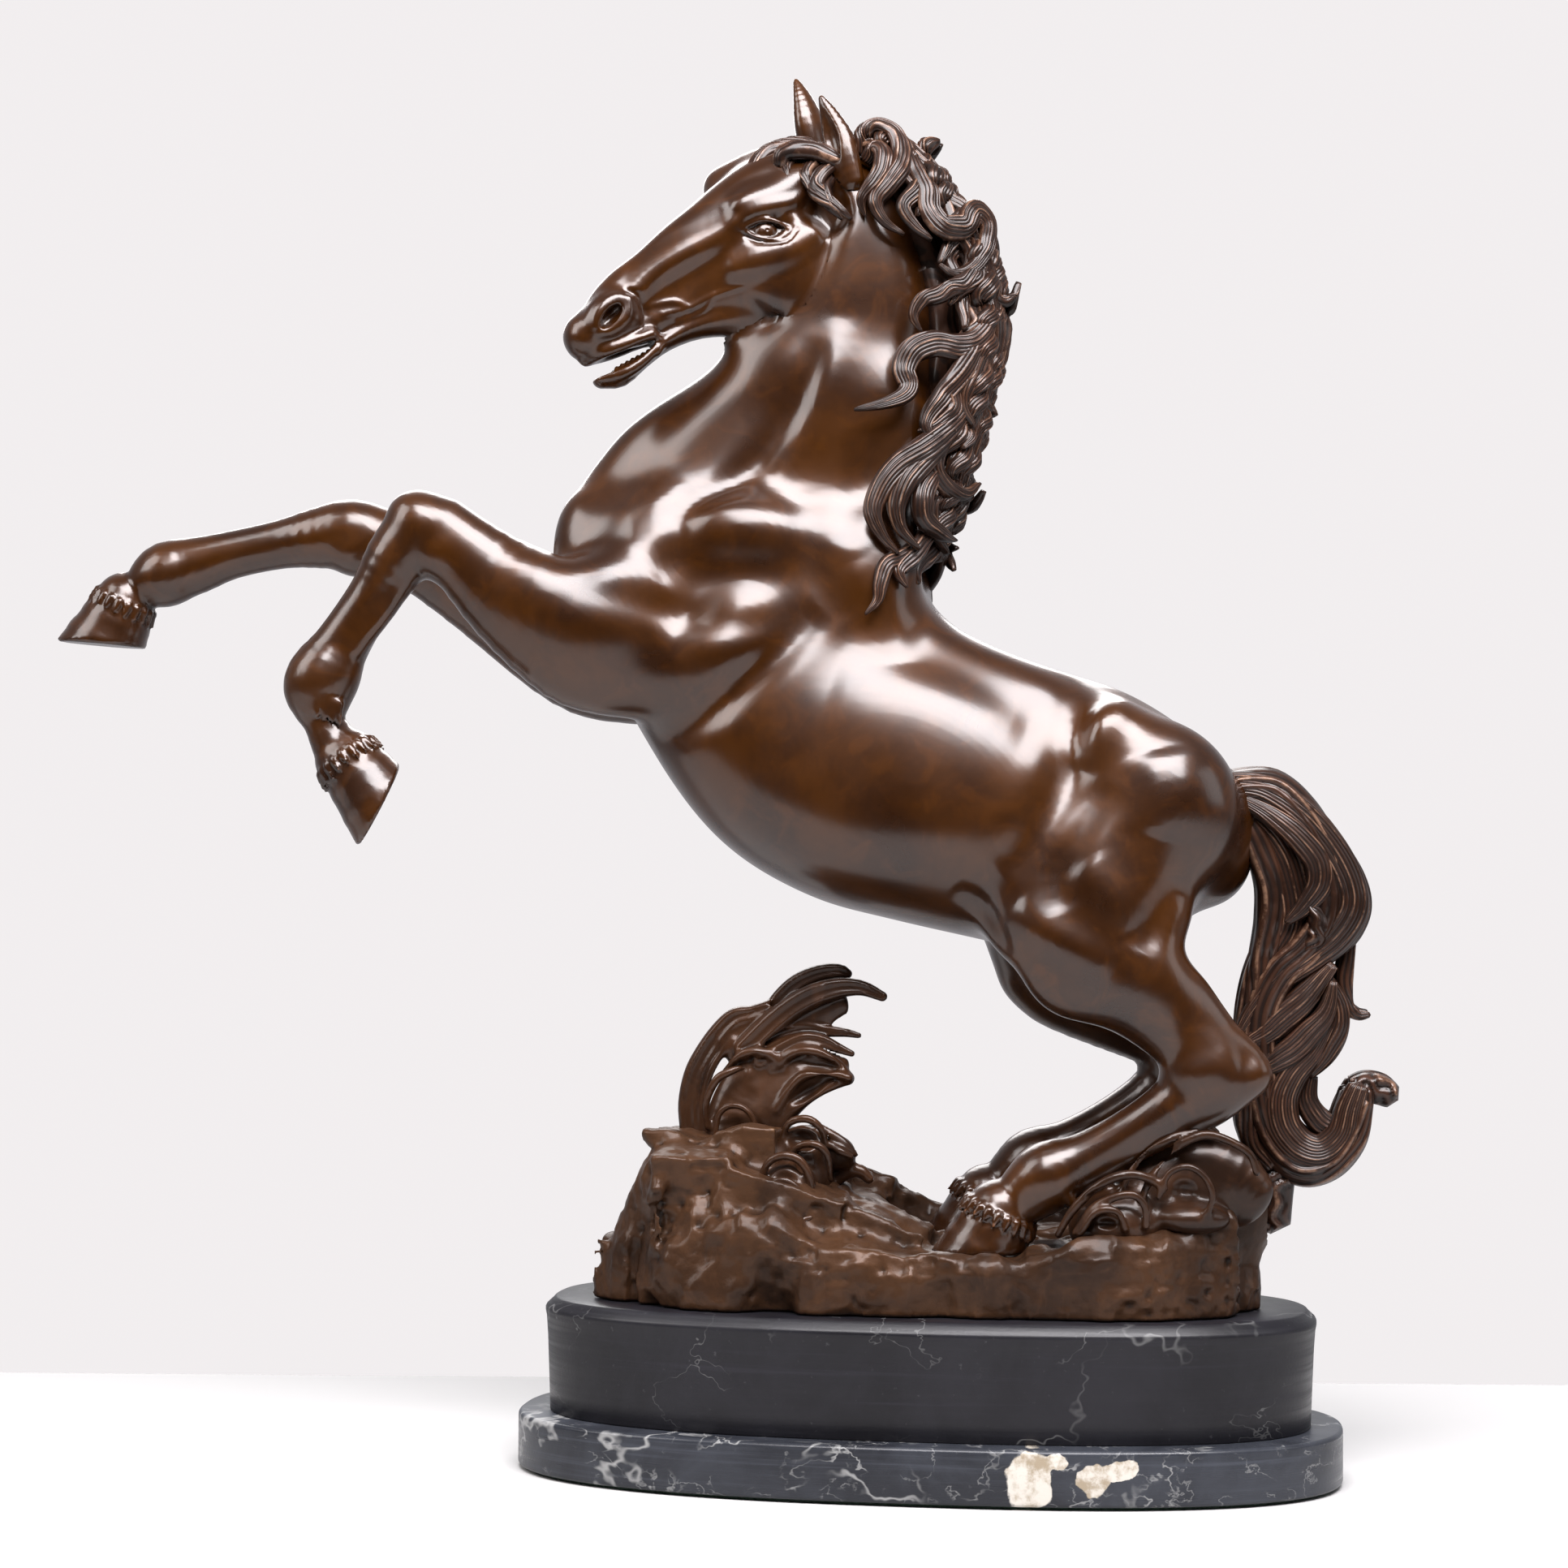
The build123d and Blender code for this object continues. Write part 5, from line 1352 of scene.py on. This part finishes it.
def add_rear_scrolls(field):
    field.add(Ball((86, -22, 98), (28, 15, 19), turned(16)), 4.0)
    field.add(chain([(74, -25, 98, 9, 11), (84, -25, 106, 14, 10), (97, -25, 110, 16, 9),
                     (109, -25, 108, 14, 8), (116, -24, 103, 11, 7)], 3), 3.0)
    field.add(Ball((70, -32, 94), (17, 13, 13), turned(6)), 4.0)
    rim(field, [(66, 104), (69.4, 113.4), (75.5, 120.3), (84, 127), (93.2, 129.9), (100.8, 130),
                (105, 127)], -33, 1.7, -3, 0.75)
    rim(field, [(72, 106), (76, 114.5), (82.8, 121.2), (90.4, 126), (98, 127.7)], -37, 1.4, -2, 0.75)
    rim(field, [(79, 104), (82.8, 112.8), (87.6, 119.5), (94.2, 124.5), (101.8, 127), (110.2, 124.6),
                (116.7, 120.3), (119, 114)], -39.5, 1.6, -1.5, 0.8)
    field.carve(Ball((84, -43, 118), (3.4, 4, 11), turned(-52)), 0.9)
    field.carve(Ball((79, -42, 117), (2.6, 4, 10), turned(-50)), 0.9)
    # the hollow under the leaning shell
    field.carve(Ball((94.5, -42, 107), (7.4, 9.0, 6.0), turned(-18)), 1.2)
    rim(field, [(85, 105), (88.5, 113.2), (95.1, 115.9), (100.9, 112.6), (103.8, 106), (102, 100)],
        -42, 1.3, -1, 0.8)
    field.add(Ball((96, -34, 97), (14, 9, 6)), 3.0)
    rim(field, [(50, 91), (54.3, 98.7), (60.1, 105.3), (67.7, 110.8), (75.3, 112.8), (82, 111.3),
                (87, 108)], -41, 1.8, -3, 0.7)
    field.carve(Ball((69, -47, 106), (11, 4.6, 3.0), turned(10)), 0.9)
    rim(field, [(56, 92), (62, 100.8), (69.6, 104.9), (76.4, 105.9), (80.4, 102), (80.8, 95)],
        -44, 1.5, -2, 0.8)
    rim(field, [(58, 92), (63.1, 99.2), (67.8, 100.8), (71.6, 99.3), (73.6, 94)], -46, 1.3, -1.5, 0.8)
    field.carve(Ball((66.8, -50, 95.6), (5.6, 7.5, 3.0)), 0.8)


# ------------------------------------------------------------ plinth shapes
OVAL_POWER = 2.5                # 2 is an ellipse; more is squarer


def oval_piece(name, half_long, half_wide, profile, around=360):
    """An oval turned piece from a profile of (inset, z) rows in mm."""
    theta = np.linspace(0, 2 * math.pi, around, endpoint=False)
    cx, cy = (np.sign(v) * np.abs(v) ** (2 / OVAL_POWER) for v in (np.cos(theta), np.sin(theta)))
    rings = [np.stack([cx * (half_long - inset), cy * (half_wide - inset), np.full(around, z)], 1)
             for inset, z in profile]
    points = np.concatenate(rings + [[(0, 0, profile[0][1])], [(0, 0, profile[-1][1])]])
    polys = tube_quads(len(profile), around).tolist()
    under = len(points) - 2
    top = (len(profile) - 1) * around
    pairs = [(a, (a + 1) % around) for a in range(around)]
    polys += [(a, b, under) for a, b in pairs]
    polys += [(top + a, top + b, under + 1) for a, b in pairs]
    return mesh_object(name, points, polys)


def edge_rows(z, radius, upper, steps=6):
    """Profile rows round the outer corner at height z, from below to above."""
    rows = []
    for i in range(steps + 1):
        t = math.pi / 2 * i / steps
        if upper:
            rows.append((radius * (1 - math.cos(t)), z - radius * (1 - math.sin(t))))
        else:
            rows.append((radius * (1 - math.sin(t)), z + radius * (1 - math.cos(t))))
    return rows


# ------------------------------------------------------------ materials
def put(tree, socket, value):
    """Links another socket to this one, or sets its number, vector or colour."""
    if isinstance(value, bpy.types.NodeSocket):
        tree.links.new(value, socket)
    elif socket.type == "RGBA":
        socket.default_value = (*value, 1.0)
    else:
        socket.default_value = value


def add_node(tree, kind, inputs, **settings):
    """A shader node with its settings, and its inputs by name or number."""
    node = tree.nodes.new("ShaderNode" + kind)
    for key, value in settings.items():
        setattr(node, key, value)
    for key, value in inputs.items():
        put(tree, node.inputs[key], value)
    return node


def scaled(colour, factor):
    return tuple(c * factor for c in colour)


class Shader:
    """Small builder for node materials."""

    NAMES = {"base": "Base Color", "metal": "Metallic", "rough": "Roughness", "normal": "Normal",
             "coat": "Coat Weight", "coat_rough": "Coat Roughness", "coat_tint": "Coat Tint",
             "coat_normal": "Coat Normal", "sheen": "Sheen Weight",
             "specular": "Specular IOR Level"}

    def __init__(self, name):
        self.mat = bpy.data.materials.new(name)
        self.mat.use_nodes = True
        self.tree = self.mat.node_tree
        self.tree.nodes.clear()
        self.bsdf = self.node("BsdfPrincipled", {})
        self.node("OutputMaterial", {0: self.bsdf.outputs[0]})
        self.place = self.node("TexCoord", {}).outputs["Object"]

    def node(self, kind, inputs, **settings):
        return add_node(self.tree, kind, inputs, **settings)

    def vector(self, kind, *values, **extra):
        inputs = {**dict(enumerate(values)), **extra}
        return self.node("VectorMath", inputs, operation=kind).outputs

    def noise(self, scale, detail, rough, warp=0.0, where=None):
        node = self.node("TexNoise", {"Scale": scale, "Detail": detail, "Roughness": rough,
                                      "Distortion": warp, "Vector": where or self.place})
        return node.outputs["Fac"]

    def warped(self, scale, amount, detail):
        """The object position pushed about by noise."""
        push = self.node("TexNoise", {"Scale": scale, "Detail": detail, "Vector": self.place})
        push = self.vector("SUBTRACT", push.outputs["Color"], (0.5, 0.5, 0.5))[0]
        push = self.vector("SCALE", push, Scale=amount)[0]
        return self.vector("ADD", push, self.place)[0]

    def shift(self, offset, stretch=(1, 1, 1), turn=(0, 0, 0), where=None):
        return self.node("Mapping", {"Location": offset, "Rotation": turn, "Scale": stretch,
                                     "Vector": where or self.place}).outputs[0]

    def band(self, value, low, high, out_low=0.0, out_high=1.0):
        """Runs smoothly from out_low to out_high as the value goes from low to high."""
        return self.node("MapRange", {"Value": value, "From Min": low, "From Max": high,
                                      "To Min": out_low, "To Max": out_high},
                         interpolation_type="SMOOTHSTEP").outputs[0]

    def maths(self, kind, a, b=0.0, clamp=False):
        return self.node("Math", {0: a, 1: b}, operation=kind, use_clamp=clamp).outputs[0]

    def mix(self, factor, a, b):
        return self.node("Mix", {0: factor, 6: a, 7: b}, data_type="RGBA").outputs[2]

    def bump(self, height, strength, distance):
        return self.node("Bump", {"Strength": strength, "Distance": distance,
                                  "Height": height}).outputs[0]

    def tone(self):
        return self.node("Attribute", {}, attribute_name="tone").outputs["Fac"]

    def edges(self):
        return self.node("NewGeometry", {}).outputs["Pointiness"]

    def finish(self, **values):
        for key, value in values.items():
            put(self.tree, self.bsdf.inputs[self.NAMES[key]], value)
        return self.mat


def bronze(name, dark, warm, gold, gold_from, coat, rough, grain, tone_shade=0.55):
    """Patinated cast bronze under wax: dark patina and painted shade in hollows, rubbed bright on
    ridges.
    """
    s = Shader(name)
    tone = s.tone()
    body = s.mix(s.band(s.noise(22.0, 5.0, 0.6, 0.4), 0.36, 0.66), dark, warm)
    streak = s.noise(70.0, 3.0, 0.6, 1.2)
    body = s.mix(s.band(streak, 0.48, 0.72, 0.0, 0.4), body, scaled(warm, 1.5))
    # Darker where the tone is low, in hollows and creases: dark patina, and painted shade standing in
    # for the shade that falls there.
    hollow_patina_and_shade = s.band(tone, 0.25, 0.5, tone_shade, 0.0)
    body = s.mix(hollow_patina_and_shade, body, scaled(dark, 0.35))
    fleck = s.noise(160.0, 4.0, 0.7)
    rub = s.maths("MULTIPLY", s.band(tone, gold_from, gold_from + 0.22), s.band(fleck, 0.40, 0.62))
    body = s.mix(rub, body, gold)
    sheen = s.noise(35.0, 4.0, 0.6)
    shine = s.band(sheen, 0.3, 0.7, rough * 0.78, rough * 1.25)
    shine = s.maths("ADD", shine, s.maths("MULTIPLY", hollow_patina_and_shade, 0.18), True)
    soft = s.noise(95.0, 3.0, 0.5)
    height = s.maths("ADD", soft, s.maths("MULTIPLY", s.noise(420.0, 4.0, 0.6), 0.28))
    return s.finish(base=body, metal=0.25, rough=shine, normal=s.bump(height, grain, 0.0009),
                    coat=coat, coat_rough=0.22, coat_tint=(1.0, 0.87, 0.84),
                    coat_normal=s.bump(soft, grain * 0.6, 0.0007), specular=0.12)


def vein(s, scale, offset, width, where):
    """Thin wandering lines where a slow noise crosses its middle value."""
    field = s.noise(scale, 5.0, 0.55, 0.0, s.shift(offset, (1, 1, 1.4), (0.4, 0.2, 0.6), where))
    away = s.maths("ABSOLUTE", s.maths("SUBTRACT", field, 0.5))
    return s.band(away, 0.0, width, 1.0, 0.0)


def blot(s, centre, radii, where):
    """A soft-edged ellipsoid mask round centre."""
    stretch = tuple(1 / r for r in radii)
    offset = tuple(-c / r for c, r in zip(centre, radii))
    away = s.vector("LENGTH", s.shift(offset, stretch, (0, 0, 0), where))["Value"]
    return s.band(away, 0.93, 1.02, 1.0, 0.0)


def marble(name, ground, cloud_tint, veins, blots, polish):
    """Dark honed stone with painted highlights on its rounded edges; veins are (scale, width,
    strength), blots cream patches.
    """
    s = Shader(name)
    base = s.mix(s.band(s.noise(20.0, 6.0, 0.62, 0.5), 0.36, 0.68), ground, cloud_tint)
    grind = s.noise(60.0, 4.0, 0.7, 0.0, s.shift((0, 0, 0), (0.12, 0.12, 6.0)))
    base = s.mix(s.band(grind, 0.5, 0.78, 0.0, 0.35), base, scaled(cloud_tint, 2.4))
    fleck = s.noise(420.0, 3.0, 0.6)
    base = s.mix(s.band(fleck, 0.66, 0.8, 0.0, 0.4), base, (0.07, 0.07, 0.075))
    where = s.warped(14.0, 0.02, 5.0)
    for i, (scale, width, strength) in enumerate(veins):
        mask = vein(s, scale, (0.37 * i, 0.21 + 0.3 * i, 0.11 * i), width, where)
        gate = s.band(s.noise(scale * 1.7, 3.0, 0.5, 0.0, s.shift((1.7 * i, 0.4, 0.9))), 0.48, 0.6)
        mask = s.maths("MULTIPLY", s.maths("MULTIPLY", mask, gate), strength)
        base = s.mix(mask, base, (0.30, 0.30, 0.295))
    ragged = s.warped(90.0, 0.010, 6.0)
    cream = s.mix(s.band(s.noise(130.0, 6.0, 0.65), 0.42, 0.62), (0.50, 0.47, 0.42),
                  (0.27, 0.22, 0.155))
    for centre, radii in blots:
        base = s.mix(blot(s, centre, radii, ragged), base, cream)
    # Painted highlight: the rounded edges, found by their pointiness, are made lighter.
    base = s.mix(s.band(s.edges(), 0.52, 0.60, 0.0, 0.5), base, scaled(cloud_tint, 3.0))
    height = s.maths("ADD", s.noise(700.0, 2.0, 0.5), s.maths("MULTIPLY", grind, 1.2))
    return s.finish(base=base, rough=s.band(grind, 0.3, 0.7, polish * 0.8, polish * 1.35),
                    normal=s.bump(height, 0.10, 0.0004), specular=0.3)


def felt(name):
    s = Shader(name)
    fibre = s.noise(900.0, 4.0, 0.7, 1.0)
    base = s.mix(s.band(fibre, 0.3, 0.7), (0.012, 0.03, 0.018), (0.03, 0.06, 0.035))
    return s.finish(base=base, rough=0.95, normal=s.bump(fibre, 0.8, 0.0006), sheen=0.4)


def turned_metal(name, tint):
    s = Shader(name)
    turn = s.noise(400.0, 3.0, 0.6, 0.0, s.shift((0, 0, 0), (0.08, 0.08, 1.0)))
    base = s.mix(s.band(turn, 0.35, 0.65), tint, scaled(tint, 0.7))
    base = s.mix(s.band(s.edges(), 0.5, 0.56), base, scaled(tint, 1.3))
    return s.finish(base=base, metal=1.0, rough=s.band(turn, 0.3, 0.7, 0.28, 0.45),
                    normal=s.bump(turn, 0.2, 0.0002))


def paper(name):
    s = Shader(name)
    base = s.mix(s.band(s.noise(3.0, 3.0, 0.5), 0.3, 0.7), (0.44, 0.436, 0.432),
                 (0.46, 0.456, 0.452))
    return s.finish(base=base, rough=0.75, normal=s.bump(s.noise(400.0, 3.0, 0.6), 0.05, 0.0003))


BODY_BRONZE = bronze("body_bronze", (0.017, 0.0054, 0.0004), (0.038, 0.0128, 0.0005),
                     (0.22, 0.10, 0.04), 0.80, 1.0, 0.42, 0.12)
MANE_BRONZE = bronze("mane_bronze", (0.016, 0.0070, 0.0040), (0.040, 0.0175, 0.0098),
                     (0.15, 0.088, 0.056), 0.72, 0.5, 0.42, 0.22, 0.9)
ROCK_BRONZE = bronze("rock_bronze", (0.020, 0.0092, 0.0045), (0.048, 0.0220, 0.0100),
                     (0.16, 0.09, 0.045), 0.72, 0.18, 0.50, 0.6, 0.85)
WAVE_BRONZE = bronze("wave_bronze", (0.016, 0.0068, 0.0030), (0.038, 0.0160, 0.0066),
                     (0.14, 0.08, 0.040), 0.76, 0.4, 0.44, 0.3, 0.85)
PIN_BRONZE = turned_metal("pin_bronze", (0.62, 0.38, 0.18))
STEEL = turned_metal("fixing_steel", (0.56, 0.57, 0.58))
SLAB_VEINS = [(9.0, 0.010, 0.75), (21.0, 0.008, 0.6), (48.0, 0.012, 0.35)]
SLAB_BLOTS = [((0.0425, -0.076, 0.0105), (0.0080, 0.03, 0.0110)),
              ((0.0500, -0.076, 0.0165), (0.0070, 0.03, 0.0024)),
              ((0.0650, -0.076, 0.0105), (0.0056, 0.03, 0.0060)),
              ((0.0725, -0.076, 0.0130), (0.0070, 0.03, 0.0034))]
SLAB_MARBLE = marble("slab_marble", (0.013, 0.014, 0.018), (0.030, 0.033, 0.041), SLAB_VEINS,
                     SLAB_BLOTS, 0.30)
DRUM_MARBLE = marble("drum_marble", (0.0050, 0.0047, 0.0064), (0.0096, 0.0092, 0.0122),
                     [(7.0, 0.004, 0.3), (15.0, 0.003, 0.2)], [], 0.36)
FELT = felt("felt")


def paint(obj, material):
    obj.data.materials.clear()
    obj.data.materials.append(material)


def mount(obj, material, slot, *nodes):
    """Gives a finished piece its finish and its place on the part."""
    paint(obj, material)
    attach(obj, "root")
    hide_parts(*nodes)


# ------------------------------------------------------------ put it together
def build_body():
    """Torso, neck and legs from one skin; returns the field for the mane to lie on."""
    skin = Field((-352, -60, 78), (132, 60, 500), BODY_STEP)
    add_trunk(skin)
    add_skull(skin)
    add_legs(skin)
    skin.soften((-138, -90, 150), (140, 90, 428), round(MELT_AREA / BODY_STEP ** 2))
    add_neck_creases(skin)
    add_creases(skin)
    mount_castings(skin, BODY_PARTS, 0.9)
    return skin


def build_head():
    field = Field((-140, -48, 388), (-18, 26, 518), HEAD_STEP)
    add_neck(field)
    add_skull(field)
    add_neck_creases(field)
    add_head(field)
    mount_castings(field, HEAD_PARTS, 0.6)


def build_rock():
    field = Field((-123, -63, 58), (123, 63, 130), ROCK_STEP)
    add_rock(field)
    shape_rock(field)
    mount_casting(field, "rock_base_casting", ROCK_BRONZE, "rock_bronze", "rock_base", 0.9)


def build_waves():
    for node, low, high, fill in (
            ("wave_plume", (-98, -24, 98), (-8, 20, 190), add_plume),
            ("wave_scrolls_front", (-80, -50, 80), (-12, 8, 140), add_front_scrolls),
            ("wave_scrolls_rear", (42, -56, 74), (130, 4, 138), add_rear_scrolls)):
        field = Field(low, high, WAVE_STEP)
        fill(field)
        mount_casting(field, node + "_casting", WAVE_BRONZE, "wave_bronze", node, 0.7)


def half_sizes(node):
    """Half the length and half the width of a CAD node, in mm to one decimal."""
    low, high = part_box(node)
    return [round(v / MM / 2, 1) for v in (high - low)[:2]]


def build_plinth():
    slab = [(30, SLAB_FOOT)] + edge_rows(SLAB_FOOT, 1.2, False)
    slab += edge_rows(SLAB_TOP, 1.6, True) + [(14, SLAB_TOP)]
    mount(oval_piece("plinth_slab_stone", *half_sizes("plinth_slab"), slab), SLAB_MARBLE,
          "slab_marble", "plinth_slab")
    wall = [(30, SLAB_TOP), (2.2, SLAB_TOP), (1.9, 21.0), (1.6, 30)]
    rim_edge = [(0.9, 48), (0.4, 55), (0.0, 57.0), (0.0, 58.0), (0.4, 58.8), (2.6, 60.8)]
    top = [(3.3, 61.6), (4.2, DRUM_TOP), (22, DRUM_TOP)]
    mount(oval_piece("plinth_drum_stone", *half_sizes("plinth_drum"), wall + rim_edge + top),
          DRUM_MARBLE, "drum_marble", "plinth_drum")


skin = build_body()
build_head()
for node, hair in make_mane(skin).items():
    mount(hair, MANE_BRONZE, "mane_bronze", node)
mount(make_forelock(), MANE_BRONZE, "mane_bronze", "forelock")
mount(make_tail(), MANE_BRONZE, "mane_bronze", "tail")
build_rock()
build_waves()
build_plinth()
for node in ("fixing_studs", "fixing_washers", "fixing_nuts"):
    paint(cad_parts[node], STEEL)
for node in ("foreleg_pins", "hind_leg_pins", "hoof_studs", "tail_pin", "neck_pins"):
    paint(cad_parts[node], PIN_BRONZE)
paint(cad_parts["felt_pad"], FELT)


# ------------------------------------------------------------ studio
def area_light(name, spot, target, size, power, tint=(1, 1, 1)):
    data = bpy.data.lights.new(name, "AREA")
    data.shape = "RECTANGLE"
    data.size, data.size_y = size
    data.energy = power
    data.color = tint
    obj = bpy.data.objects.new(name, data)
    obj.location = spot
    obj.rotation_mode = "QUATERNION"
    obj.rotation_quaternion = (Vector(target) - Vector(spot)).to_track_quat("-Z", "Y")
    bpy.context.scene.collection.objects.link(obj)


def studio_world():
    """Pale where the camera sees it; as a light, bright behind and dark in front."""
    world = bpy.data.worlds.new("studio")
    world.use_nodes = True
    tree = world.node_tree
    tree.nodes.clear()
    way = add_node(tree, "TexCoord", {}).outputs["Generated"]
    back = add_node(tree, "SeparateXYZ", {0: way}).outputs[1]
    power = add_node(tree, "MapRange", {"Value": back, "From Min": -0.5, "From Max": 0.9,
                                        "To Min": 0.0, "To Max": 0.5}).outputs[0]
    glow = add_node(tree, "Background", {0: (0.95, 0.95, 1.0), 1: power}).outputs[0]
    seen = add_node(tree, "Background", {0: (0.887, 0.857, 0.865), 1: 1.0}).outputs[0]
    camera_ray = add_node(tree, "LightPath", {}).outputs["Is Camera Ray"]
    both = add_node(tree, "MixShader", {0: camera_ray, 1: glow, 2: seen}).outputs[0]
    add_node(tree, "OutputWorld", {0: both})
    return world


def add_camera():
    """A long lens at the height of the haunch, a little towards the tail."""
    data = bpy.data.cameras.new("camera")
    data.lens = 77.3
    data.sensor_width = 36.0
    data.clip_end = 20.0
    camera = bpy.data.objects.new("camera", data)
    camera.location = (0.11887, -1.2309, 0.21775)
    aim = Vector((-0.1393, 0.9899, 0.0262)).to_track_quat("-Z", "Y")
    camera.rotation_mode = "QUATERNION"
    camera.rotation_quaternion = aim @ Quaternion((0, 0, 1), 0.0071)
    bpy.context.scene.collection.objects.link(camera)
    bpy.context.scene.camera = camera


floor = mesh_object("floor", [(-3000, -600, 0), (3000, -600, 0), (3000, 620, 0), (-3000, -180, 0)],
                    [(0, 1, 2, 3)])
paint(floor, paper("paper"))
area_light("key", (0.22, -0.74, 1.24), (0.0, 0, 0.28), (1.25, 0.72), 62.0, (1.0, 0.975, 1.0))
area_light("left", (-1.0, -0.55, 0.95), (-0.1, 0, 0.3), (0.6, 0.8), 11.0, (1.0, 0.975, 0.97))
area_light("right", (1.05, -0.2, 0.6), (0.1, 0, 0.25), (0.4, 0.6), 1.5, (0.98, 0.98, 1.0))
area_light("back", (-0.3, 1.25, 1.05), (0.0, 0, 0.25), (1.0, 0.8), 12.0)
bpy.context.scene.world = studio_world()
bpy.context.scene.view_settings.view_transform = "Standard"
add_camera()
